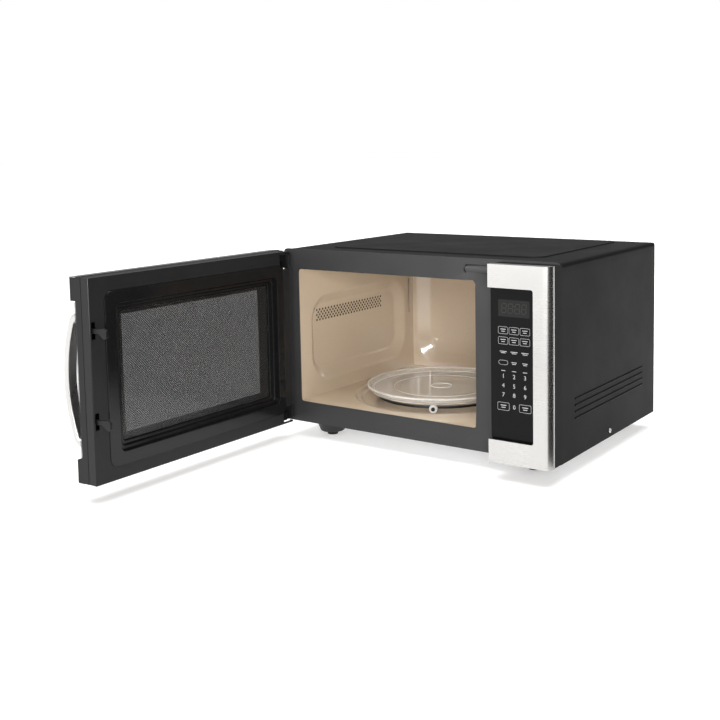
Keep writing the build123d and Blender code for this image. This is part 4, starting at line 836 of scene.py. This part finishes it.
def make_floor_pan():
    """The cavity floor: a flat pan with the stepped round track under the turntable."""
    segments = 128
    half_x, half_y = (CAVITY_RIGHT - CAVITY_LEFT) / 2, (CAVITY_BACK - CAVITY_FRONT) / 2
    steps = [  # radius, drop below the floor
        (160, 0), (158, 0), (154, 3.4), (147, 3.9), (143, 7.5), (62, 7.5), (57, 4.5), (12, 4.5),
    ]
    profile = soften([(r, CAVITY_FLOOR - drop) for r, drop in steps], 1.4)
    turn = np.linspace(0, 2 * math.pi, segments, endpoint=False)
    reach = np.minimum(
        half_x / np.maximum(np.abs(np.cos(turn)), 1e-9),
        half_y / np.maximum(np.abs(np.sin(turn)), 1e-9),
    )
    rim = np.stack([
        TABLE_X + reach * np.cos(turn), TABLE_Y + reach * np.sin(turn),
        np.full(segments, CAVITY_FLOOR),
    ], 1)
    for k in range(4):
        corner = segments // 8 + k * segments // 4
        rim[corner, 0] = TABLE_X + math.copysign(half_x, math.cos(turn[corner]))
        rim[corner, 1] = TABLE_Y + math.copysign(half_y, math.sin(turn[corner]))
    points, _ = lathe(profile, (TABLE_X, TABLE_Y), segments)
    points, faces = ring_strip([rim, *points.reshape(-1, segments, 3)])
    pan = build("cavity_floor_pan", points, faces, "enamel")
    face_way(pan, (0, 0, 1))
    settle(pan, SHEET, sharp=60)
    stands_for(pan, "cabinet", "cavity_floor")


# ---------------------------------------------------------------- turntable tray


def make_tray():
    """The glass tray: a disc with a turned-up rounded rim and three hub lugs, with milky rings as
    painted highlights along the rim's lip and foot and on the moulded ridges.
    """
    under = [(0, 0), (73.6, 0), (74.4, 0.7), (75.6, 0.7), (76.4, 0), (98.6, 0), (99.4, 0.7),
             (100.6, 0.7), (101.4, 0), (127, 0), (134.6, 6.6), (134.8, 11.2), (133.2, 11.9),
             (131.2, 11.6), (129.6, 8.6), (125.0, 4.5), (0, 4.5)]
    profile = soften([(r, TRAY_Z + z) for r, z in under], 0.8)
    profile[0][0] = profile[-1][0] = 0.0
    shells = [lathe(profile, (TABLE_X, TABLE_Y), 160)]
    for k in range(3):
        heading = math.radians(60 + 120 * k)
        along = np.array([math.cos(heading), math.sin(heading)])
        side = np.array([-along[1], along[0]])
        corners, sides = box_points(11, 20, -4.5, 4.5, TRAY_Z - 4.5, TRAY_Z - 0.02)
        lug = [(*((TABLE_X, TABLE_Y) + u * along + v * side), z) for u, v, z in corners]
        shells.append((lug, sides))
    turn = np.linspace(0, 2 * math.pi, 13)
    # Milky rings: painted highlights along the rim and the moulded ridges.
    ridge_glint_rings = []
    for reach, height, thick in TRAY_RIDGE_AND_GLINT_RINGS:
        round_rim = [
            (reach + thick * math.cos(t), TRAY_Z + height + thick * math.sin(t)) for t in turn
        ]
        ridge_glint_rings.append(lathe(round_rim, (TABLE_X, TABLE_Y), 160))
    for name, parts, key, sharp in (
        ("turntable_tray", shells, "tray_glass", 35),
        ("turntable_ridge_glints", ridge_glint_rings, "ridge_glass", 60),
    ):
        piece = build(name, *gather(*parts), key)
        settle(piece, sharp=sharp)
        outward(piece)
        stands_for(piece, "tray", "glass_tray")


def make_ring():
    """The roller ring: a slim hoop with a boss and a stub axle for each roller."""
    hubs = [sum(place(f"roller_{k}")) / 2 for k in (1, 2, 3)]
    hoop = [(113.0, 0.0), (113.0, -1.7), (117.5, -1.7), (117.5, 1.7), (113.0, 1.7), (113.0, 0.0)]
    profile = [(r, hubs[0][2] + z) for r, z in soften(hoop, 0.5)]
    shells = [lathe(profile, (TABLE_X, TABLE_Y), 160)]
    axle = [  # radius, distance from the turntable's middle
        (0, 112.4), (3.6, 112.4), (3.6, 118.6), (2.4, 119.4), (2.4, 129.3), (3.5, 129.3),
        (3.5, 130.1), (0, 130.1),
    ]
    turn = np.linspace(0, 2 * math.pi, 24, endpoint=False)[:, None]
    up = np.array([0.0, 0.0, 1.0])
    for hub in hubs:
        middle = np.array([TABLE_X, TABLE_Y, hub[2]])
        along = (hub - middle) / np.linalg.norm(hub - middle)
        side = np.cross(up, along)
        shells.append(ring_strip([
            middle + along * reach + r * (side * np.cos(turn) + up * np.sin(turn))
            for r, reach in axle
        ]))
    ring = build("roller_hoop", *gather(*shells), "black")
    settle(ring, sharp=40)
    outward(ring)
    stands_for(ring, "ring", "roller_ring")


# ---------------------------------------------------------------- feet


def make_feet():
    """Pressed dishes under the cabinet and the rubber pads pushed into them."""
    places = [(x, y) for x in (-202.0, 202.0) for y in (42.0, 338.0)]
    bowl = [(31.5, 0), (29.0, 0), (21.5, -19.6), (19.5, -20), (4, -20)]
    dish = soften([(r, BASE + drop) for r, drop in bowl], 1.6)
    pad = soften([(0, 7), (9.5, 7), (9.5, 0), (0, 0)], 0.9)
    pad[0][0] = pad[-1][0] = 0.0
    for name, profile, key, node_name, slot, thick in (
        ("foot_dish", dish, "front", "foot_dishes", "casing_paint", 1.0),
        ("foot_pad", pad, "rubber", "rubber_feet", "rubber", 0.0),
    ):
        piece = build(name, *gather(*[lathe(profile, centre, 48) for centre in places]), key)
        if thick:
            face_way(piece, (0, 0, -1))
        settle(piece, thick, sharp=40)
        if not thick:
            outward(piece)
        stands_for(piece, "cabinet", node_name)


# ---------------------------------------------------------------- door inside


def inset_rect(area, inset, radius):
    """Points round an area (x, x, z, z) drawn in by an inset."""
    return rounded_rect(
        area[0] + inset, area[1] - inset, area[2] + inset, area[3] - inset, radius
    )


def make_choke_cover():
    """The glossy moulding on the door's inside, stepped down to the window screen."""
    rim = [(0.0, -2.0), (0.0, -1.5), (0.5, -1.0), (3.0, -1.0)]  # inset, y
    terraces = [
        (-1.5, -1.0), (1.6, -1.0), (1.6, -8.0), (8.0, -8.0), (8.0, -12.5), (14.0, -12.5),
        (14.0, -15.9),
    ]
    contours = [upright(inset_rect(COVER, inset, 14 - inset), y) for inset, y in rim]
    contours += [
        upright(inset_rect(WELL, inset, max(9 - 0.3 * inset, 4.0)), y)
        for inset, y in soften(terraces, 0.8)
    ]
    points, faces = ring_strip(contours)
    cover = build("door_well_moulding", points, faces, "gloss", swing=True)
    face_way(cover, SWING.to_3x3() @ Vector((0, 1, 0)))
    settle(cover, 0.9, sharp=40)
    stands_for(cover, "door", "choke_cover")


def make_screen():
    """The perforated screen across the door's window."""
    pitch_x, pitch_z, radius = 3.8, 1.9, 0.71
    x0, x1, z0, z1 = MESH_FIELD
    columns = int((x1 - x0) / pitch_x)
    rows = int((z1 - z0) / pitch_z)
    x1, z1 = x0 + columns * pitch_x, z0 + rows * pitch_z
    staggered = []
    for n in range(rows):
        shift = (n % 2) / 2
        row = [x0 + (i + 0.5 + shift) * pitch_x for i in range(columns - n % 2)]
        staggered.append((z0 + (n + 0.5) * pitch_z, row))
    field, faces = vent_patch(staggered, pitch_x, pitch_z, radius, 8, x0, x1)
    edge = 14.2  # the sheet starts just inside the well's last wall
    outer = (WELL[0] + edge, WELL[1] - edge, WELL[2] + edge, WELL[3] - edge)
    frame_points = [
        (outer[0], outer[2]), (outer[1], outer[2]), (outer[1], outer[3]), (outer[0], outer[3]),
        (x0, z0), (x1, z0), (x1, z1), (x0, z1),
    ]
    faces += [
        [len(field) + i, len(field) + (i + 1) % 4, len(field) + 4 + (i + 1) % 4, len(field) + 4 + i]
        for i in range(4)
    ]
    flat = np.vstack([field, frame_points])
    screen = build(
        "door_screen_mesh", upright(flat, SCREEN_Y - 0.1), faces, "screen", swing=True
    )
    settle(screen, sharp=30)
    stands_for(screen, "door", "door_screen")


def make_latch_coil():
    """The latch's spring: a copy of its CAD mesh, carried on the latch."""
    coil = show("latch_coil", frame["nodes"]["latch_spring"].data.copy())
    stands_for(coil, "latch", "latch_spring")
    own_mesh(coil)


def make_cheeks():
    """Thin walls that close the door's outer edge beside the hinge flanges."""
    thick, back, reach = 1.0, -2.4, 27.2
    for side, way in (("upper", -1), ("lower", 1)):
        low, high = place(side + "_hinge")
        end = high[2] if way < 0 else low[2]
        z0, z1 = sorted((end + way * (HINGE_LEAF + 0.7), end + way * reach))
        points, faces = box_points(DOOR_EDGE, DOOR_EDGE + thick, DOOR_RIM_Y, back, z0, z1)
        cheek = build(side + "_cheek", points, faces, "door_panel", swing=True)
        outward(cheek)
        bevel = cheek.modifiers.new("bevel", "BEVEL")
        bevel.width = 0.3 * MM
        bevel.segments = 2
        stands_for(cheek, "door", None)


# ---------------------------------------------------------------- control panel print


def print_shapes(name, shapes, key, lift=0.03):
    """Thin printed marks on the control glass; each shape is a closed loop of (x, z)."""
    y = GLASS_FACE
    points, faces = [], []
    for loop in shapes:
        start = len(points)
        count = len(loop)
        points += [(u, y - lift, v) for u, v in loop] + [(u, y, v) for u, v in loop]
        faces.append([start + i for i in range(count)])
        faces += [
            [start + i, start + count + i, start + count + (i + 1) % count, start + (i + 1) % count]
            for i in range(count)
        ]
    return build(name, points, faces, key)


def frame_loop(x0, x1, z0, z1, radius, width):
    """A rounded outline of a given line width, as four-sided pieces."""
    outer = rounded_rect(x0, x1, z0, z1, radius, arc=4, side=0)
    inner = rounded_rect(
        x0 + width, x1 - width, z0 + width, z1 - width, max(radius - width, 0.1), arc=4, side=0
    )
    count = len(outer)
    return [
        [outer[i], outer[(i + 1) % count], inner[(i + 1) % count], inner[i]] for i in range(count)
    ]


def bar(x, z, wide, tall=0.9):
    """A short printed bar, centred."""
    return [
        (x - wide / 2, z - tall / 2), (x + wide / 2, z - tall / 2),
        (x + wide / 2, z + tall / 2), (x - wide / 2, z + tall / 2),
    ]


def make_legends():
    """Key outlines, bars in place of words, and the number pad."""
    columns = (189.0, 207.5, 226.0)
    marks = []
    for low, high in ((200.5, 211.6), (184.6, 195.8)):
        for x in columns:
            marks += frame_loop(x - 8.4, x + 8.4, BASE + low, BASE + high, 2.2, 0.4)
            middle = BASE + (low + high) / 2
            marks += [bar(x, middle + 1.6, 9.0), bar(x, middle - 1.6, 6.0)]
    for x in columns:
        marks += [bar(x, BASE + 173.6, 12.0), bar(x, BASE + 171.4, 8.0), bar(x, BASE + 144.0, 7.0)]
    marks += frame_loop(columns[0] - 8, columns[0] + 8, BASE + 153, BASE + 160, 3.4, 0.4)
    for x in columns[1:]:
        marks += [bar(x, BASE + 157.6, 9.0), bar(x, BASE + 155.2, 6.0)]
    for x in (columns[0], columns[2]):
        marks += frame_loop(x - 10.2, x + 10.2, BASE + 82.5, BASE + 94.8, 2.4, 0.45)
        marks += [bar(x, BASE + 90.3, 10.0, 1.1), bar(x, BASE + 87.0, 7.0, 1.1)]
    printed = print_shapes("panel_key_marks", marks, "ink")
    digits = []
    number_rows = (135.4, 120.8, 106.6)
    layout = [(str(3 * r + c + 1), columns[c], number_rows[r]) for r in range(3) for c in range(3)]
    for text, x, z in [*layout, ("0", columns[1], 88.6)]:
        curve = bpy.data.curves.new("digit_" + text, "FONT")
        curve.body = text
        curve.size = 9.2 * MM
        curve.align_x = "CENTER"
        curve.align_y = "CENTER"
        curve.extrude = 0.015 * MM
        curve.resolution_u = 3
        made = show("digit_" + text, curve)
        made.matrix_world = (
            Matrix.Translation(Vector((x, GLASS_FACE - 0.02, BASE + z)) * MM)
            @ Matrix.Rotation(math.radians(90), 4, "X")
        )
        bpy.context.view_layer.update()
        mesh = bpy.data.meshes.new_from_object(made)
        mesh.transform(made.matrix_world)
        mesh.materials.clear()
        mesh.materials.append(M["ink"])
        bpy.data.objects.remove(made)
        digits.append(show("digit_mesh_" + text, mesh))
    pad = join(digits[0], *digits[1:])
    pad.name = "panel_numbers"
    for piece in (printed, pad):
        stands_for(piece, "cabinet", None)


def make_display():
    """The display window on the glass, with its unlit segments."""
    x0, x1, z0, z1 = 181.0, 234.0, BASE + 227.0, BASE + 253.0
    pane = [rounded_rect(x0, x1, z0, z1, 1.0, arc=3, side=0)]
    window = print_shapes("display_pane", pane, "display", 0.02)
    stands_for(window, "cabinet", None)
    tall, wide, thin, slant, gap = 14.0, 7.6, 1.25, 0.1, 0.3
    shapes = []

    def stroke(cx, cz, u0, v0, u1, v1):
        """One hexagonal segment between two points, leaned like the display's digits."""
        du, dv = u1 - u0, v1 - v0
        size = math.hypot(du, dv)
        du, dv = du / size, dv / size
        half = thin / 2
        ring = []
        for reach, across in (
            (gap, 0), (gap + half, half), (size - gap - half, half), (size - gap, 0),
            (size - gap - half, -half), (gap + half, -half),
        ):
            ring.append((u0 + du * reach + dv * across, v0 + dv * reach - du * across))
        shapes.append([(cx + u + slant * v, cz + v) for u, v in ring])

    mid_z = (z0 + z1) / 2
    for cx in (190.6, 201.6, 213.4, 224.4):
        u, v = wide / 2, tall / 2
        for ends in (
            (-u, v, u, v), (-u, 0, u, 0), (-u, -v, u, -v), (-u, 0, -u, v), (u, 0, u, v),
            (-u, -v, -u, 0), (u, -v, u, 0),
        ):
            stroke(cx, mid_z, *ends)
    for dz in (-3.2, 3.2):
        shapes.append([(x + 207.5 + slant * dz, z + mid_z + dz) for x, z in bar(0, 0, 1.3, 1.3)])
    ghost = print_shapes("display_segments", shapes, "segments")
    stands_for(ghost, "cabinet", None)


# ---------------------------------------------------------------- CAD nodes that stay


def round_edges(node_name, width):
    """Softens the edges of a CAD node with modifiers, which leave its own mesh as it is."""
    piece = frame["nodes"][node_name]
    weld = piece.modifiers.new("weld", "WELD")
    weld.merge_threshold = 0.00001
    bevel = piece.modifiers.new("bevel", "BEVEL")
    bevel.width = width * MM
    bevel.segments = 2
    bevel.limit_method = "ANGLE"
    bevel.angle_limit = math.radians(35)
    bevel.harden_normals = False
    bevel.miter_outer = "MITER_ARC"


for node_name, width in (("latch_slider", 0.7), ("door_panel", 0.6), ("control_housing", 0.8)):
    round_edges(node_name, width)
for make in (
    make_casing, make_front_plate, make_left_wall, make_rear_wall, make_floor_pan, make_tray,
    make_ring, make_feet, make_choke_cover, make_screen, make_latch_coil, make_cheeks,
    make_legends, make_display,
):
    make()

# ---------------------------------------------------------------- floor, light and camera


def make_ground():
    """The wide pale floor; its faint glow keeps the shadows as light as a studio's."""
    mesh = bmesh.new()
    bmesh.ops.create_grid(mesh, x_segments=8, y_segments=8, size=30.0)
    data = bpy.data.meshes.new("studio_floor")
    mesh.to_mesh(data)
    mesh.free()
    ground = show("studio_floor", data)
    ground.location.z = -0.0002
    data.materials.append(surface(
        "studio_floor_white", (0.70, 0.70, 0.70), 0.85, grain=40, bump=0.0, shade=0.004,
        Specular_IOR_Level=0.1, Emission_Color=(1.0, 0.985, 0.97, 1.0), Emission_Strength=0.45,
    ))


def make_flag():
    """A black studio card standing at the right and lying on the floor there.

    Only reflections see it. It gives the steel's rounded edge its dark stripe.
    """
    points, faces = [], []
    centre = (HALF, -40.0)
    section = ((110, 1), (450, 1), (450, 900))  # distance from the centre, height
    for n, heading in enumerate(np.radians(np.linspace(-50, 50, 18))):
        for reach, height in section:
            x, y = centre[0] + reach * math.cos(heading), centre[1] + reach * math.sin(heading)
            points.append((x, y, height))
        if n:
            first = 3 * n
            faces += [(first - 3 + k, first - 2 + k, first + 1 + k, first + k) for k in (0, 1)]
    card = build("studio_flag", points, faces, "rubber")
    card.visible_camera = False
    card.visible_diffuse = False
    card.visible_transmission = False
    card.visible_shadow = False


def lamp(name, kind, power, place_at, look_at, **settings):
    """A light aimed at a point."""
    data = bpy.data.lights.new(name, kind)
    data.energy = power
    for key, value in settings.items():
        setattr(data, key, value)
    made = show(name, data)
    made.location = place_at
    made.rotation_euler = (Vector(look_at) - Vector(place_at)).to_track_quat("-Z", "Y").to_euler()
    return made


def make_world():
    """White seen directly; for lighting, white overhead and left, dark low on the near right."""
    world = bpy.data.worlds.new("studio")
    bpy.context.scene.world = world
    world.use_nodes = True
    tree = world.node_tree
    tree.nodes.clear()
    link = tree.links.new
    out = node(tree, "OutputWorld")
    white = node(tree, "Background", Color=(1, 1, 1, 1), Strength=1.0)
    room = node(tree, "Background", Strength=1.0)
    pick = node(tree, "MixShader")
    path = node(tree, "LightPath")
    where = node(tree, "TexCoord")

    def lobe(aim_at, stops):
        """Grey level by the angle to a direction; stops run from opposite (0) to towards (1)."""
        aimed = node(tree, "VectorMath", operation="DOT_PRODUCT")
        aimed.inputs[1].default_value = Vector(aim_at).normalized()
        span = node(tree, "MapRange", From_Min=-1.0)
        tone = colour_ramp(tree, *[(position, [level] * 3) for position, level in stops])
        tone.color_ramp.interpolation = "EASE"
        link(where.outputs["Generated"], aimed.inputs[0])
        link(aimed.outputs["Value"], span.inputs["Value"])
        link(span.outputs["Result"], tone.inputs["Fac"])
        return tone.outputs["Color"]

    dark = lobe((0.86, -0.5, -0.1), ((0.70, 1.0), (0.88, 0.12)))
    bright = lobe((-0.70, -0.70, 0.05), ((0.0, 0.30), (0.62, 0.32), (0.90, 1.25)))
    product = node(tree, "Mix", data_type="RGBA", blend_type="MULTIPLY")
    product.inputs[0].default_value = 1.0
    link(dark, product.inputs[6])
    link(bright, product.inputs[7])
    link(product.outputs[2], room.inputs["Color"])
    link(path.outputs["Is Camera Ray"], pick.inputs["Fac"])
    link(room.outputs["Background"], pick.inputs[1])
    link(white.outputs["Background"], pick.inputs[2])
    link(pick.outputs["Shader"], out.inputs["Surface"])


def make_camera():
    """The camera of the main view: low three-quarter from the right, door swung to the left."""
    yaw, pitch, roll = (math.radians(a) for a in (34.3415, 5.6509, -0.9145))
    ahead = Vector((
        -math.sin(yaw) * math.cos(pitch), math.cos(yaw) * math.cos(pitch), -math.sin(pitch)
    ))
    level = Vector((math.cos(yaw), math.sin(yaw), 0))
    up = level.cross(ahead)
    right = math.cos(roll) * level + math.sin(roll) * up
    top = -math.sin(roll) * level + math.cos(roll) * up
    data = bpy.data.cameras.new("camera")
    data.lens = 53.146
    data.sensor_width = 36.0
    data.shift_x, data.shift_y = -0.05556, -0.15278
    data.clip_end = 100.0
    camera = show("camera", data)
    turn = Matrix((right, top, -ahead)).transposed().to_4x4()
    camera.matrix_world = Matrix.Translation((0.95812, -1.43271, 0.51461)) @ turn
    bpy.context.scene.camera = camera


make_ground()
make_flag()
make_world()
make_camera()
lamp("overhead", "SUN", 3.7, (0, 0, 5), (0, 0, 0), angle=math.radians(60))
lamp("key", "AREA", 1.3, (0.80, -1.05, 0.50), (-0.21, 0.19, 0.16), shape="RECTANGLE",
     size=0.35, size_y=0.35, spread=math.radians(60))
sparkle = lamp("sparkle", "AREA", 5.0, (0.06, -1.30, 0.66), (-0.06, 0.2, 0.12), shape="RECTANGLE",
               size=0.22, size_y=0.22, spread=math.radians(50))
sparkle.visible_diffuse = False
glow = lamp("cavity_fill", "AREA", 0.06, (TABLE_X * MM, 0.12, (CAVITY_CEILING - 6) * MM),
            (TABLE_X * MM - 0.06, 0.13, TRAY_Z * MM), shape="RECTANGLE", size=0.24, size_y=0.14)
glow.visible_camera = False
bpy.context.scene.view_settings.view_transform = "Standard"
bpy.context.scene.view_settings.look = "None"
